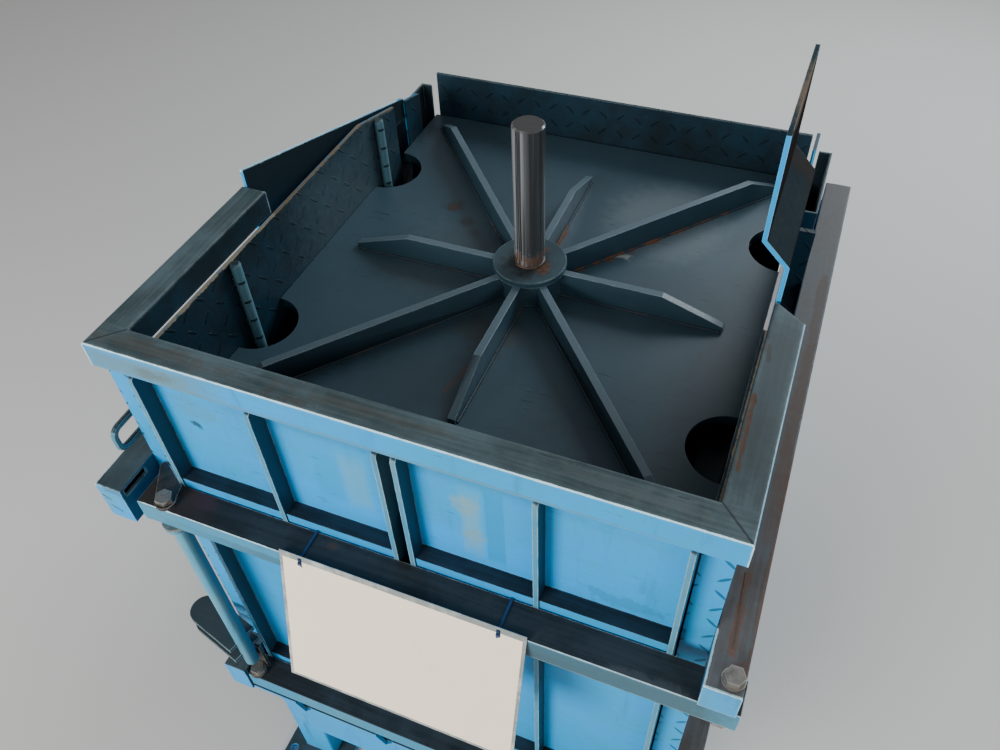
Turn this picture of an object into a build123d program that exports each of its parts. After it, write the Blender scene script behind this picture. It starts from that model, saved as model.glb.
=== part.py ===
from build123d import *
import os
from math import cos, sin, sqrt, radians, tan

# Driving sizes of the container, in millimetres.
# Places count from the left outside of the rim, from the front of the door ribs
# and down from the top of the rim.
WIDTH = 700            # outside of the rim, left to right
DEPTH = 800            # front of the door ribs to the rear edge of the side walls
HEIGHT = 980           # ground to the top of the rim
RIM = 35               # square tube of the rim
RIM_ROUND = 3          # rounded long edges of the rim tube
RIM_LEFT = 302         # how far back the left rim bar reaches
RIM_RIGHT = 309        # how far back the right rim bar reaches, on its inner side
RIM_SLANT = 27         # slanted end of the right rim bar
RIM_WALL = 3           # wall of its tube

# Walls and floor of the chamber
SHEET = 5              # wall sheets
WALL_IN = 40           # outside of the rim to the inner face of a side wall
LEFT_FOLD = 47         # width of the folded front edge of the left wall
RIGHT_FOLD = 27        # width of the folded front edge of the right wall
FOLD_BACK = 22         # front of the ribs to the folded front edges
BACK_SET = 23          # inner face of the back wall, in front of the rear edges of the side walls
BACK_TOP = 75          # upper edge of the back wall
CORNER_GAP = 5         # end of the back wall to the inner face of a side wall
CHAMBER_FLOOR = 744    # top of the floor plate
FLOOR_SHEET = 6

# Upright recesses in the rear corners of the side walls
SLOT_SET = 166         # front of a slot, in front of the rear edges
SLOT_WIDTH = 38
STRIP_SET = 82         # rear edge of the wall strip behind the slot, in front of the rear edges
SLOT_FOOT = 640
RECESS = 23            # depth of the channel that closes a recess outside
RECESS_SHEET = 3
RECESS_SLIT = 14       # open slit between that channel and the back wall
RECESS_TOP = 102
RECESS_START = 8       # channel in front of the slot

# Guard sheets behind the open ends of the rim
GUARD = 5
WALL_UNDER = 2         # left wall's edge under the left guard's edge
GUARD_PEAK = 24        # front corner of the left guard over the rim
GUARD_SLOPE = 0.25     # fall of the left guard's top edge
GUARD_LEAN = 27        # how far the left guard comes inward on its way back
LEFT_GUARD_SET = 125   # its rear end, in front of the rear edges of the side walls
RIGHT_GUARD_LONG = 188
STEP_START = 42        # right guard: lower bend over the rim
STEP = 28              # right guard: how far the upper part stands inward, and rises
STEP_TOP = 190         # right guard: upper edge over the rim

# Beams round the container
BEAM = 38              # width of the rectangular tube
BEAM_HIGH = 65
BEAM_WALL = 4
UPPER_LEFT = 218       # top of the upper left beam
UPPER_RIGHT = 186      # top of the upper right beam
LEVEL_GAP = 469        # from the upper beams down to the lower ones
BEAM_NOSE = 42         # how far the side beams reach in front of the ribs
LOWER_SHIFT = 38       # how far the lower left beam stands further in
LUG_BACK = 8           # rear face of the hinge lugs
WALL_RIB = 8           # upright ribs behind the walls
SIDE_RIB_STEP = 190
SIDE_RIB_SET = 54      # last side rib in front of the slot
BACK_RIB_STEP = 150

# Door
DOOR_TOP = 38
DOOR_GAP = 3           # over the chamber floor
DOOR_SIDE = 2          # between the door sheets and the side walls
DOOR_SHEET = 6
DOOR_RIB = 6
EDGE_RIB = 46          # outer ribs from the rim's outside
MIDDLE_RIB = 10.5      # inner ribs from the middle of the door
RIB_CORNER = 6         # rounded upper corner of a rib
LEDGE_HIGH = 18
LEDGE_OVER = 14        # top of a ledge bar over the top of the door beam
LEDGE_SET = 2          # ledge bar behind the rib fronts
DOOR_BEAM_TOP = 231
DOOR_BEAM = 39
DOOR_BEAM_HIGH = 36
DOOR_BEAM_WALL = 6
UPPER_BEAM_LEFT = 6
LOWER_BEAM_LEFT = 29
BEAM_OVER = 35         # right end over the rim's outside
END_PLATE = 7          # plate that closes the upper beam's left end
END_PLATE_BACK = 3     # behind the beam

# Hinge bolts
HINGE_OUT = 18         # axis outside the rim
HINGE_Y = -26
BOLT = 12
BOLT_HEAD = 19
HEAD_HIGH = 8
NUT_HIGH = 10
WASHER = 24
WASHER_THICK = 2.5
THREAD_OUT = 3         # bolt's end under its nut
DISC_SIDES = 36        # flats round a washer, collar or flange
RUNNING_FIT = 0.05     # radial, between a bolt and the holes that turn on it
BEARING_GAP = 1        # between a hinge lug and the door beam

# Lock shaft on the left edge of the door
LOCK_X = 42
LOCK_Y = -28
SHAFT = 21.3
SHAFT_WALL = 2.6
SHAFT_GAP = 1          # under the upper door beam's washer
SHAFT_FOOT = 655
COLLAR = 34
COLLAR_HIGH = 6
CLAW = 5
CLAW_NOSE = 10         # width of the claw's tip
CLAW_ROUND = 13        # radius round the bolt
CLAW_HEEL = (16, 20)   # rear corner of the upper claw, along and beside it
UPPER_REACH = 56
LOWER_REACH = 16.5
CLAW_ANGLE = 128       # where the released claws point
LEG_LEFT, LEG_RIGHT = 2, 12   # upright leg of the lower claw, from the shaft's axis
LEG_THICK = 5
LEG_TOP = 632
SLOT_CLEAR = 3         # round a claw in its slot
EAR_LEVEL = 596
EAR_STEP = 33
EAR = 7
EAR_REACH = 84
EAR_ROUND = 24
EAR_ANGLE = 165

# Press plate with its ribs, hub and rod
PLATE = 15
PLATE_TOP = 149        # where it stands in the photograph
PLATE_GAP = 0.5        # to each side wall, which guides the plate
PLATE_FRONT = 38
PLATE_BACK = 3         # to the back wall
NOTCH = 50             # radius of the notches
NOTCH_AT = 189         # from the middle of the plate
HUB_DISC = 98
DISC_THICK = 8
HUB_BOSS = 84
PLATE_RIB = 10
RIB_HIGH = 36
RIB_NOSE = 8           # height of the ribs at their tips
DIAGONAL = 50          # angle of the slanting ribs to the width
SQUARE_TAPER = 82      # length of a square rib's falling end
SQUARE_SHORT = 47.5    # its tip from the plate's side
SQUARE_END_SHORT = 106 # the same from the plate's front or rear edge
DIAGONAL_TAPER = 62
DIAGONAL_SHORT = 50    # its tip from the plate's rear edge, along the rib
ROD = 40
ROD_NECK = 37
NECK_HIGH = 12
ROD_TOP = 95           # over the rim

# Guide bars on the left wall
GUIDE = 14
GUIDES_FROM_MIDDLE = (-206, 166)   # from the middle of the press plate
GUIDE_FOOT = 700

# Base
GROOVE = 28
GROOVE_DEEP = 20
GROOVE_WALL = 3
GROOVE_SHORT = 7       # grooves end in front of the back wall
PACKING_GAP = 4        # from the packing strips on the base frame to the outer grooves' channels
SKIRT_FOOT = 840
SKIRT_LEFT = 74
SKIRT_SLANT = 45
SKIRT = 6
NOTCH_HIGH = 20
BASE_TUBE = 60
BASE_LEFT = 70
BASE_OVER = 33         # base frame in front of the ribs and behind the walls
FOOT = 120
FOOT_THICK = 10
ANCHOR_HOLE = 14
ANCHOR_AT = 45         # from the middle of a foot, both ways

# Loop handle on the left
LOOP_ROD = 8
LOOP_SIDES = 8         # the round bar is drawn with eight flats, which keeps its facets few
LOOP_STEPS = 4         # straight steps in each of its bends
LOOP_OUT = 60          # from the wall
LOOP_FRONT = -4
LOOP_BACK = 52
LOOP_TOP = 154
LOOP_HIGH = 34
LOOP_ROUND = 11

# Notice sheet on the door, with its two ties
NOTICE_WIDE = 303
NOTICE_HIGH = 216
NOTICE_THICK = 0.8
NOTICE_LEFT = 209
NOTICE_OVER = 6        # upper edge over the top of the door beam
NOTICE_LEAN = 15
NOTICE_GAP = 0.3
TIE_LEFT_IN = 27       # from the notice's left edge
TIE_RIGHT_IN = 32      # from its right edge
TIE = 3
TIE_THICK = 1.4

parts = {}


def px(x):
    """Distance from the left outside of the rim."""
    return x - WIDTH / 2


def mx(x):
    """The same distance taken from the right outside."""
    return WIDTH / 2 - x


def py(y):
    """Distance behind the front of the door ribs."""
    return y - DEPTH / 2


def pz(down):
    """Depth below the top of the rim."""
    return HEIGHT - down


def block(x0, x1, y0, y1, z0, z1):
    """Box between two corners."""
    return Pos((x0 + x1) / 2, (y0 + y1) / 2, (z0 + z1) / 2) * Box(abs(x1 - x0), abs(y1 - y0), abs(z1 - z0))


def post(x, y, z0, z1, diameter):
    """Upright round bar or hole."""
    return Pos(x, y, (z0 + z1) / 2) * Cylinder(diameter / 2, abs(z1 - z0))


def hexagon(x, y, z0, z1, across):
    """Upright hexagon, as a bolt head or a nut."""
    return Pos(x, y, z0) * extrude(RegularPolygon(across / 2, 6, major_radius=False), z1 - z0)


def disc(x, y, z0, z1, diameter):
    """Flat round washer, collar or flange, drawn with many flats to keep its facets few."""
    return Pos(x, y, z0) * extrude(RegularPolygon(diameter / 2, DISC_SIDES), z1 - z0)


def plan(points, z0, z1):
    """Outline seen from above, raised from z0 to z1."""
    face = make_face(Polyline(*[(x, y, z0) for x, y in points], close=True))
    return extrude(face, z1 - z0, dir=(0, 0, 1))


def side_view(points, x0, x1):
    """Outline of y and z, carried from x0 to x1."""
    face = make_face(Polyline(*[(x0, y, z) for y, z in points], close=True))
    return extrude(face, x1 - x0, dir=(1, 0, 0))


def front_view(points, y0, y1):
    """Outline of x and z, carried from y0 to y1."""
    face = make_face(Polyline(*[(x, y0, z) for x, z in points], close=True))
    return extrude(face, y1 - y0, dir=(0, 1, 0))


def add(name, solid):
    parts[name] = solid


# Places that several pieces share
BACK_FACE = DEPTH - BACK_SET
SLOT_FRONT = DEPTH - SLOT_SET
STRIP_END = DEPTH - STRIP_SET
LEFT_GUARD_END = DEPTH - LEFT_GUARD_SET
RIGHT_GUARD_END = RIM_RIGHT + RIGHT_GUARD_LONG
HINGE_X = WIDTH + HINGE_OUT
BEAM_RIGHT = WIDTH + BEAM_OVER
PLATE_MIDDLE = (PLATE_FRONT + BACK_FACE - PLATE_BACK) / 2
WALL_OUT = WALL_IN - SHEET
LEFT_INNER = WALL_OUT - LEFT_FOLD
RIGHT_INNER = WALL_OUT - RIGHT_FOLD
LUG_FOOT = DOOR_BEAM_TOP - BEARING_GAP
SHAFT_TOP = DOOR_BEAM_TOP + DOOR_BEAM_HIGH + WASHER_THICK + SHAFT_GAP + COLLAR_HIGH
DOOR_FOOT = CHAMBER_FLOOR - DOOR_GAP
RIBS_LEFT = [EDGE_RIB, (EDGE_RIB + WIDTH / 2 - MIDDLE_RIB) / 2, WIDTH / 2 - MIDDLE_RIB]
DOOR_RIBS_AT = RIBS_LEFT + [WIDTH - x for x in reversed(RIBS_LEFT)]
BAYS = [(DOOR_RIBS_AT[i] + DOOR_RIBS_AT[i + 1]) / 2 for i in (0, 1, 3, 4)]
GROOVE_END = BACK_FACE - GROOVE_SHORT
GUIDES_AT = [PLATE_MIDDLE + distance for distance in GUIDES_FROM_MIDDLE]
LEVELS = {"upper": 0, "lower": LEVEL_GAP}


def rim_frame():
    """Square tube round the front and both sides, open at the back."""
    inner = WIDTH - RIM
    points = [
        (px(0), py(0)), (px(WIDTH), py(0)), (px(WIDTH), py(RIM_RIGHT - RIM_SLANT)),
        (px(inner), py(RIM_RIGHT)), (px(inner), py(RIM)), (px(RIM), py(RIM)),
        (px(RIM), py(RIM_LEFT)), (px(0), py(RIM_LEFT)),
    ]
    frame = plan(points, pz(RIM), pz(0))
    levels = frame.edges().group_by(Axis.Z)
    frame = fillet(levels[0] + levels[-1], RIM_ROUND)
    wall, end = RIM_WALL, RIM_RIGHT - RIM_SLANT - RIM_WALL
    hollow = [
        (px(wall), py(wall)), (px(WIDTH - wall), py(wall)), (px(WIDTH - wall), py(end)),
        (px(inner + wall), py(end)), (px(inner + wall), py(RIM - wall)), (px(RIM - wall), py(RIM - wall)),
        (px(RIM - wall), py(RIM_LEFT - wall)), (px(wall), py(RIM_LEFT - wall)),
    ]
    return frame - plan(hollow, pz(RIM - wall), pz(wall))


def slope(y):
    """Height over the rim of the left guard's sloping top edge."""
    return GUARD_PEAK - (y - RIM_LEFT) * GUARD_SLOPE


def over_slope(drop):
    """All that lies over the sloping line, lowered by drop."""
    start, end = RIM_LEFT - RIM, DEPTH + RIM
    points = [
        (py(start), pz(drop - slope(start))), (py(end), pz(drop - slope(end))),
        (py(end), pz(-STEP_TOP)), (py(start), pz(-STEP_TOP)),
    ]
    return side_view(points, px(-RIM), px(WALL_IN + RIM))


def side_wall(side, fold):
    """Wall sheet with both upright edges folded outwards, open rear recesses and three ribs outside."""
    edge = WALL_OUT - fold
    points = [
        (side(edge), py(FOLD_BACK)), (side(WALL_IN), py(FOLD_BACK)), (side(WALL_IN), py(DEPTH)),
        (side(edge), py(DEPTH)), (side(edge), py(DEPTH - SHEET)), (side(WALL_OUT), py(DEPTH - SHEET)),
        (side(WALL_OUT), py(FOLD_BACK + SHEET)), (side(edge), py(FOLD_BACK + SHEET)),
    ]
    wall = plan(points, pz(CHAMBER_FLOOR), pz(RIM))
    for i in range(3):
        y = SLOT_FRONT - SIDE_RIB_SET - i * SIDE_RIB_STEP
        wall += block(side(edge), side(WALL_OUT), py(y), py(y + WALL_RIB), pz(CHAMBER_FLOOR), pz(RECESS_TOP))
    wide = (side(edge - 1), side(WALL_IN + 1))
    wall -= block(*wide, py(SLOT_FRONT), py(SLOT_FRONT + SLOT_WIDTH), pz(SLOT_FOOT), pz(0))
    wall -= block(*wide, py(STRIP_END), py(DEPTH + 1), pz(SLOT_FOOT), pz(0))
    return wall


def recess_channel(side):
    """Folded sheet that closes the slot and the corner from outside."""
    out = WALL_OUT - RECESS
    slit = WALL_IN + CORNER_GAP - RECESS_SLIT
    rear = BACK_FACE + SHEET + RECESS_SHEET
    start = SLOT_FRONT - RECESS_START
    points = [
        (side(WALL_OUT), py(start)), (side(out), py(start)), (side(out), py(rear)), (side(slit), py(rear)),
        (side(slit), py(rear - RECESS_SHEET)), (side(out + RECESS_SHEET), py(rear - RECESS_SHEET)),
        (side(out + RECESS_SHEET), py(start + RECESS_SHEET)), (side(WALL_OUT), py(start + RECESS_SHEET)),
    ]
    return plan(points, pz(SLOT_FOOT), pz(RECESS_TOP))


def back_wall():
    """Back sheet with three upright ribs behind it."""
    ends, behind = WALL_IN + CORNER_GAP, BACK_FACE + SHEET
    wall = block(px(ends), mx(ends), py(BACK_FACE), py(behind), pz(CHAMBER_FLOOR), pz(BACK_TOP))
    for i in (-1, 0, 1):
        x, half = WIDTH / 2 + i * BACK_RIB_STEP, WALL_RIB / 2
        low, high = pz(CHAMBER_FLOOR), pz(BACK_TOP + RIM)
        wall += block(px(x - half), px(x + half), py(behind), py(DEPTH), low, high)
    return wall


def walls():
    left = side_wall(px, LEFT_FOLD) - over_slope(WALL_UNDER)
    under = LEVEL_GAP + UPPER_LEFT
    notch = (px(LEFT_INNER - 1), px(LEFT_INNER + LOWER_SHIFT))
    left -= block(*notch, py(0), py(DEPTH + 1), pz(CHAMBER_FLOOR + 1), pz(under))
    add("left_wall", left)
    add("right_wall", side_wall(mx, RIGHT_FOLD))
    add("back_wall", back_wall())
    add("left_recess_channel", recess_channel(px))
    add("right_recess_channel", recess_channel(mx))


def left_guard():
    """Upright sheet whose top edge falls and comes inward on its way back."""
    front, rear = WALL_OUT - GUARD_LEAN, WALL_OUT
    points = [
        (px(front - GUARD), py(RIM_LEFT)), (px(front), py(RIM_LEFT)),
        (px(rear), py(LEFT_GUARD_END)), (px(rear - GUARD), py(LEFT_GUARD_END)),
    ]
    return plan(points, pz(RECESS_TOP), pz(-GUARD_PEAK)) - over_slope(0)


def right_guard():
    """Folded sheet that rises beside the rim, steps inward and rises again."""
    inner = [(0, -RECESS_TOP), (0, STEP_START), (STEP, STEP_START + STEP), (STEP, STEP_TOP)]
    bend = GUARD * tan(radians(22.5))
    outer = [(-GUARD, -RECESS_TOP), (-GUARD, STEP_START + bend), (STEP - GUARD, STEP_START + STEP + bend),
             (STEP - GUARD, STEP_TOP)]
    points = [(mx(WALL_OUT + x), pz(-z)) for x, z in inner + outer[::-1]]
    guard = front_view(points, py(RIM_RIGHT), py(RIGHT_GUARD_END))
    bends = guard.edges().filter_by(Axis.Y).group_by(Axis.Z)[1:-1]
    return fillet([e for level in bends for e in level], GUARD / 2)


def guide_bars():
    for name, y in zip(("guide_bar_front", "guide_bar_rear"), GUIDES_AT):
        top = min(pz(RIM), pz(WALL_UNDER - slope(y + GUIDE / 2)))
        bar = post(px(WALL_IN + GUIDE / 2), py(y), pz(GUIDE_FOOT), top, GUIDE)
        add(name, chamfer(bar.edges().group_by(Axis.Z)[-1], GUIDE / 8))


def tube_beam(x0, x1, y0, y1, z0, z1, along):
    """Rectangular tube along one axis, with closed ends."""
    beam = block(x0, x1, y0, y1, z0, z1)
    beam = fillet(beam.edges().filter_by(along), BEAM_WALL / 2)
    wall = BEAM_WALL
    return beam - block(x0 + wall, x1 - wall, y0 + wall, y1 - wall, z0 + wall, z1 - wall)


def claw_slot(inner, drop, reach):
    """Opening in a left beam that a turned claw enters."""
    tip = reach + CLAW_NOSE / 2
    across = LOCK_X - inner
    back = LOCK_Y + sqrt(tip ** 2 - across ** 2) + SLOT_CLEAR
    front = LOCK_Y - CLAW_NOSE / 2 - SLOT_CLEAR
    low = DOOR_BEAM_TOP + drop + SLOT_CLEAR
    high = UPPER_LEFT + drop + BEAM_WALL
    return block(px(inner - BEAM_WALL - 1), px(inner + 1), py(front), py(back), pz(low), pz(high))


def side_beams():
    """Rectangular tubes round the left, back and right, on two levels."""
    rear = DEPTH + BEAM
    for level, drop in LEVELS.items():
        inner = LEFT_INNER + (LOWER_SHIFT if drop else 0)
        top, foot = UPPER_LEFT + drop, UPPER_LEFT + drop + BEAM_HIGH
        reach = LOWER_REACH if drop else UPPER_REACH
        left = tube_beam(px(inner - BEAM), px(inner), py(-BEAM_NOSE), py(rear), pz(foot), pz(top), Axis.Y)
        add(f"left_beam_{level}", left - claw_slot(inner, drop, reach))
        right_out = RIGHT_INNER - BEAM
        back = tube_beam(px(inner), mx(RIGHT_INNER), py(DEPTH), py(rear), pz(foot), pz(top), Axis.X)
        add(f"back_beam_{level}", back)
        top, foot = UPPER_RIGHT + drop, UPPER_RIGHT + drop + BEAM_HIGH
        right = tube_beam(mx(RIGHT_INNER), mx(right_out), py(LUG_BACK), py(rear), pz(foot), pz(top), Axis.Y)
        add(f"right_beam_{level}", right + hinge_lug(drop))


def hinge_lug(drop):
    """Nose of a right beam, cut away below, that the hinge bolt hangs in."""
    x0, x1 = mx(RIGHT_INNER), mx(RIGHT_INNER - BEAM)
    lug = block(x0, x1, py(-BEAM_NOSE), py(LUG_BACK), pz(LUG_FOOT + drop), pz(UPPER_RIGHT + drop))
    lug = fillet(lug.edges().filter_by(Axis.Y).group_by(Axis.Z)[-1], BEAM_WALL / 2)
    return lug - post(px(HINGE_X), py(HINGE_Y), pz(LUG_FOOT + drop + 1), pz(UPPER_RIGHT + drop - 1), BOLT)


def chamber_floor():
    """Floor plate with open grooves that run to its front edge, each over a folded channel."""
    low, high = pz(CHAMBER_FLOOR + FLOOR_SHEET), pz(CHAMBER_FLOOR)
    plate = block(px(LEFT_INNER + LOWER_SHIFT), mx(RIGHT_INNER), py(-DOOR_BEAM), py(DEPTH), low, high)
    channels = []
    for x in BAYS:
        half = GROOVE / 2
        plate -= block(px(x - half), px(x + half), py(-DOOR_BEAM - 1), py(GROOVE_END), low - 1, high + 1)
        wide = half + GROOVE_WALL
        deep = low - GROOVE_DEEP
        outside = block(px(x - wide), px(x + wide), py(-BASE_OVER), py(GROOVE_END), deep, low)
        channels.append(outside - block(px(x - half), px(x + half), py(-BASE_OVER - 1), py(GROOVE_END + 1),
                                        deep + GROOVE_WALL, low + 1))
    add("chamber_floor", plate + channels)


def base_skirt():
    """Front plate under the chamber floor, with a notch in front of each groove."""
    top, foot = CHAMBER_FLOOR + FLOOR_SHEET, SKIRT_FOOT
    slant = SKIRT_LEFT + SKIRT_SLANT
    points = [
        (px(SKIRT_LEFT), pz(top)), (px(slant), pz(top + SKIRT_SLANT)), (px(slant), pz(foot)),
        (mx(slant), pz(foot)), (mx(slant), pz(top + SKIRT_SLANT)), (mx(SKIRT_LEFT), pz(top)),
    ]
    skirt = front_view(points, py(-DOOR_BEAM), py(-BASE_OVER))
    for x in BAYS:
        half = GROOVE / 2
        cut = [(px(x - half), pz(top)), (px(x + half), pz(top)), (px(x), pz(top + NOTCH_HIGH))]
        skirt -= front_view(cut, py(-DOOR_BEAM - 1), py(0))
    return skirt


def base_frame():
    """Square tubes under the floor, welded to a ring."""
    low = CHAMBER_FLOOR + FLOOR_SHEET + GROOVE_DEEP
    z0, z1 = pz(low + BASE_TUBE), pz(low)
    front, rear = -BASE_OVER, DEPTH + BASE_OVER
    ring = block(px(BASE_LEFT), mx(BASE_LEFT), py(front), py(rear), z0, z1)
    inside = BASE_LEFT + BASE_TUBE
    ring -= block(px(inside), mx(inside), py(front + BASE_TUBE), py(rear - BASE_TUBE), z0 - 1, z1 + 1)
    ring = fillet(ring.edges().filter_by(Axis.Z), BEAM_WALL)
    wall = BEAM_WALL
    ends = (px(BASE_LEFT + wall), mx(BASE_LEFT + wall))
    hollow = block(*ends, py(front + wall), py(rear - wall), z0 + wall, z1 - wall)
    island = (BASE_TUBE - wall, rear - BASE_TUBE + wall)
    ring -= hollow - block(px(inside - wall), mx(inside - wall), py(front + island[0]), py(island[1]), z0, z1)
    packing_end = BAYS[0] - GROOVE / 2 - GROOVE_WALL - PACKING_GAP
    for side in (px, mx):
        packing = (side(BASE_LEFT), side(packing_end))
        ring += block(*packing, py(0), py(rear - BASE_TUBE), z1, pz(CHAMBER_FLOOR + FLOOR_SHEET))
    add("base_frame", ring)
    half = BASE_TUBE / 2
    for side, hand in ((px, "left"), (mx, "right")):
        for y, end in ((front + half, "front"), (rear - half, "rear")):
            add(f"base_leg_{end}_{hand}", base_leg(side(BASE_LEFT + half), py(y), z0))


def base_leg(x, y, top):
    """Square tube on a foot plate with an anchor hole in its outer corner."""
    half, wide = BASE_TUBE / 2, FOOT / 2
    leg = block(x - half, x + half, y - half, y + half, FOOT_THICK, top)
    leg = fillet(leg.edges().filter_by(Axis.Z), BEAM_WALL)
    inner = half - BEAM_WALL
    leg -= block(x - inner, x + inner, y - inner, y + inner, FOOT_THICK, top)
    foot = block(x - wide, x + wide, y - wide, y + wide, 0, FOOT_THICK)
    hole_x = x + ANCHOR_AT if x > 0 else x - ANCHOR_AT
    hole_y = y + ANCHOR_AT if y > 0 else y - ANCHOR_AT
    return leg + foot - post(hole_x, hole_y, -1, FOOT_THICK + 1, ANCHOR_HOLE)


def loop_handle():
    """Bent round bar that stands off the left wall."""
    out, wall = px(WALL_OUT - LOOP_OUT), px(WALL_OUT)
    high, low = pz(LOOP_TOP), pz(LOOP_TOP + LOOP_HIGH)
    corners = [
        Vector(wall, py(LOOP_BACK), high), Vector(out, py(LOOP_BACK), high),
        Vector(out, py(LOOP_FRONT), high), Vector(out, py(LOOP_FRONT), low),
        Vector(out, py(LOOP_BACK), low), Vector(wall, py(LOOP_BACK), low),
    ]
    route = Polyline(*bent(corners, LOOP_ROUND, LOOP_STEPS))
    section = RegularPolygon(LOOP_ROD / 2, LOOP_SIDES, major_radius=False)
    return sweep(Plane(origin=route @ 0, z_dir=route % 0) * section, route, transition=Transition.RIGHT)


def bent(corners, radius, steps):
    """A path of straight steps whose square corners are rounded."""
    path = [corners[0]]
    for before, corner, after in zip(corners, corners[1:], corners[2:]):
        back, on = (before - corner).normalized(), (after - corner).normalized()
        middle = corner + (back + on) * radius
        for i in range(steps + 1):
            angle = radians(90 * i / steps)
            path.append(middle - on * radius * cos(angle) - back * radius * sin(angle))
    return path + [corners[-1]]


def container():
    add("rim_frame", rim_frame())
    walls()
    add("left_guard", left_guard())
    add("right_guard", right_guard())
    guide_bars()
    side_beams()
    chamber_floor()
    add("base_skirt", base_skirt())
    base_frame()
    add("loop_handle", loop_handle())
    hinge_bolts()


def hinge_bolts():
    """Bolts that hang in the lugs and carry the door beams, each with two washers and a nut."""
    x, y = px(HINGE_X), py(HINGE_Y)
    for level, drop in LEVELS.items():
        top = pz(UPPER_RIGHT + drop) + WASHER_THICK
        seat = pz(DOOR_BEAM_TOP + drop + DOOR_BEAM_HIGH) - WASHER_THICK
        nut_foot = seat - NUT_HIGH
        bolt = hexagon(x, y, top, top + HEAD_HIGH, BOLT_HEAD) + post(x, y, nut_foot - THREAD_OUT, top, BOLT)
        bolt += disc(x, y, top - WASHER_THICK, top, WASHER)
        bolt += disc(x, y, seat, seat + WASHER_THICK, WASHER)
        bolt += hexagon(x, y, nut_foot, seat, BOLT_HEAD)
        add(f"hinge_bolt_{level}", bolt)


def door_sheet(x0, x1, first_rib):
    """Half of the door's sheet with a flat ledge bar in each bay, just over each door beam."""
    half = DOOR_RIB / 2
    sheet = block(px(x0), px(x1), py(FOLD_BACK), py(FOLD_BACK + DOOR_SHEET), pz(DOOR_FOOT), pz(DOOR_TOP))
    for i in (first_rib, first_rib + 1):
        wide = (px(DOOR_RIBS_AT[i] + half), px(DOOR_RIBS_AT[i + 1] - half))
        for drop in LEVELS.values():
            top = DOOR_BEAM_TOP + drop - LEDGE_OVER
            sheet += block(*wide, py(LEDGE_SET), py(FOLD_BACK), pz(top + LEDGE_HIGH), pz(top))
    return sheet


def door_ribs():
    half = DOOR_RIB / 2
    for i, x in enumerate(DOOR_RIBS_AT):
        rib = block(px(x - half), px(x + half), py(0), py(FOLD_BACK), pz(DOOR_FOOT), pz(DOOR_TOP))
        corner = rib.edges().filter_by(Axis.X).group_by(Axis.Z)[-1].sort_by(Axis.Y)[0]
        add(f"door_rib_{i + 1}", fillet(corner, RIB_CORNER))


def door_beam(drop, start):
    """Channel with its web in front, drilled for the hinge and lock bolts."""
    top, foot = pz(DOOR_BEAM_TOP + drop), pz(DOOR_BEAM_TOP + drop + DOOR_BEAM_HIGH)
    wall = DOOR_BEAM_WALL
    beam = block(px(start), px(BEAM_RIGHT), py(-DOOR_BEAM), py(0), foot, top)
    beam -= block(px(start - 1), px(BEAM_RIGHT + 1), py(-DOOR_BEAM + wall), py(1), foot + wall, top - wall)
    beam = fillet(beam.edges().filter_by(Axis.X).group_by(Axis.Y)[0], wall / 3)
    for x, y in ((HINGE_X, HINGE_Y), (LOCK_X, LOCK_Y)):
        beam -= post(px(x), py(y), foot - 1, top + 1, BOLT + 2 * RUNNING_FIT)
    return beam


def end_plate():
    """Plate that closes the left end of the upper door beam."""
    foot, top = pz(DOOR_BEAM_TOP + DOOR_BEAM_HIGH), pz(DOOR_BEAM_TOP)
    left, right = UPPER_BEAM_LEFT, UPPER_BEAM_LEFT + END_PLATE
    return block(px(left), px(right), py(-DOOR_BEAM), py(END_PLATE_BACK), foot, top)


def claw(reach, heel):
    """Flat plate round a bolt that narrows towards the side beam, with a rear corner if it has a heel."""
    nose = CLAW_NOSE / 2
    points = [(0, CLAW_ROUND), (reach, nose), (reach, -nose)]
    if heel:
        points.append((heel[0], -heel[1]))
    points.append((0, -CLAW_ROUND))
    shape = make_face(Polyline(*points, close=True)) + Circle(CLAW_ROUND) + Pos(reach, 0) * Circle(nose)
    return extrude(shape, CLAW)


def lock_shaft():
    """Tube that joins both claws, with its collar and two ears."""
    x, y = px(LOCK_X), py(LOCK_Y)
    tube = post(x, y, pz(SHAFT_FOOT), pz(SHAFT_TOP), SHAFT)
    tube -= post(x, y, pz(SHAFT_FOOT + 1), pz(SHAFT_TOP + COLLAR_HIGH), SHAFT - 2 * SHAFT_WALL)
    add("lock_shaft", tube)
    add("lock_shaft_collar", disc(x, y, pz(SHAFT_TOP), pz(SHAFT_TOP - COLLAR_HIGH), COLLAR))
    for name, drop in (("upper", 0), ("lower", EAR_STEP)):
        arm = Pos(EAR_REACH / 2, 0) * Rectangle(EAR_REACH, 2 * EAR_ROUND)
        arm += Pos(EAR_REACH, 0) * Circle(EAR_ROUND)
        ear = Pos(x, y, pz(EAR_LEVEL + drop)) * Rot(0, 0, EAR_ANGLE) * extrude(arm, EAR)
        hole = post(x, y, pz(EAR_LEVEL + drop + 1), pz(EAR_LEVEL + drop - EAR - 1), SHAFT)
        add(f"lock_ear_{name}", keep_largest(ear - hole))


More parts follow.
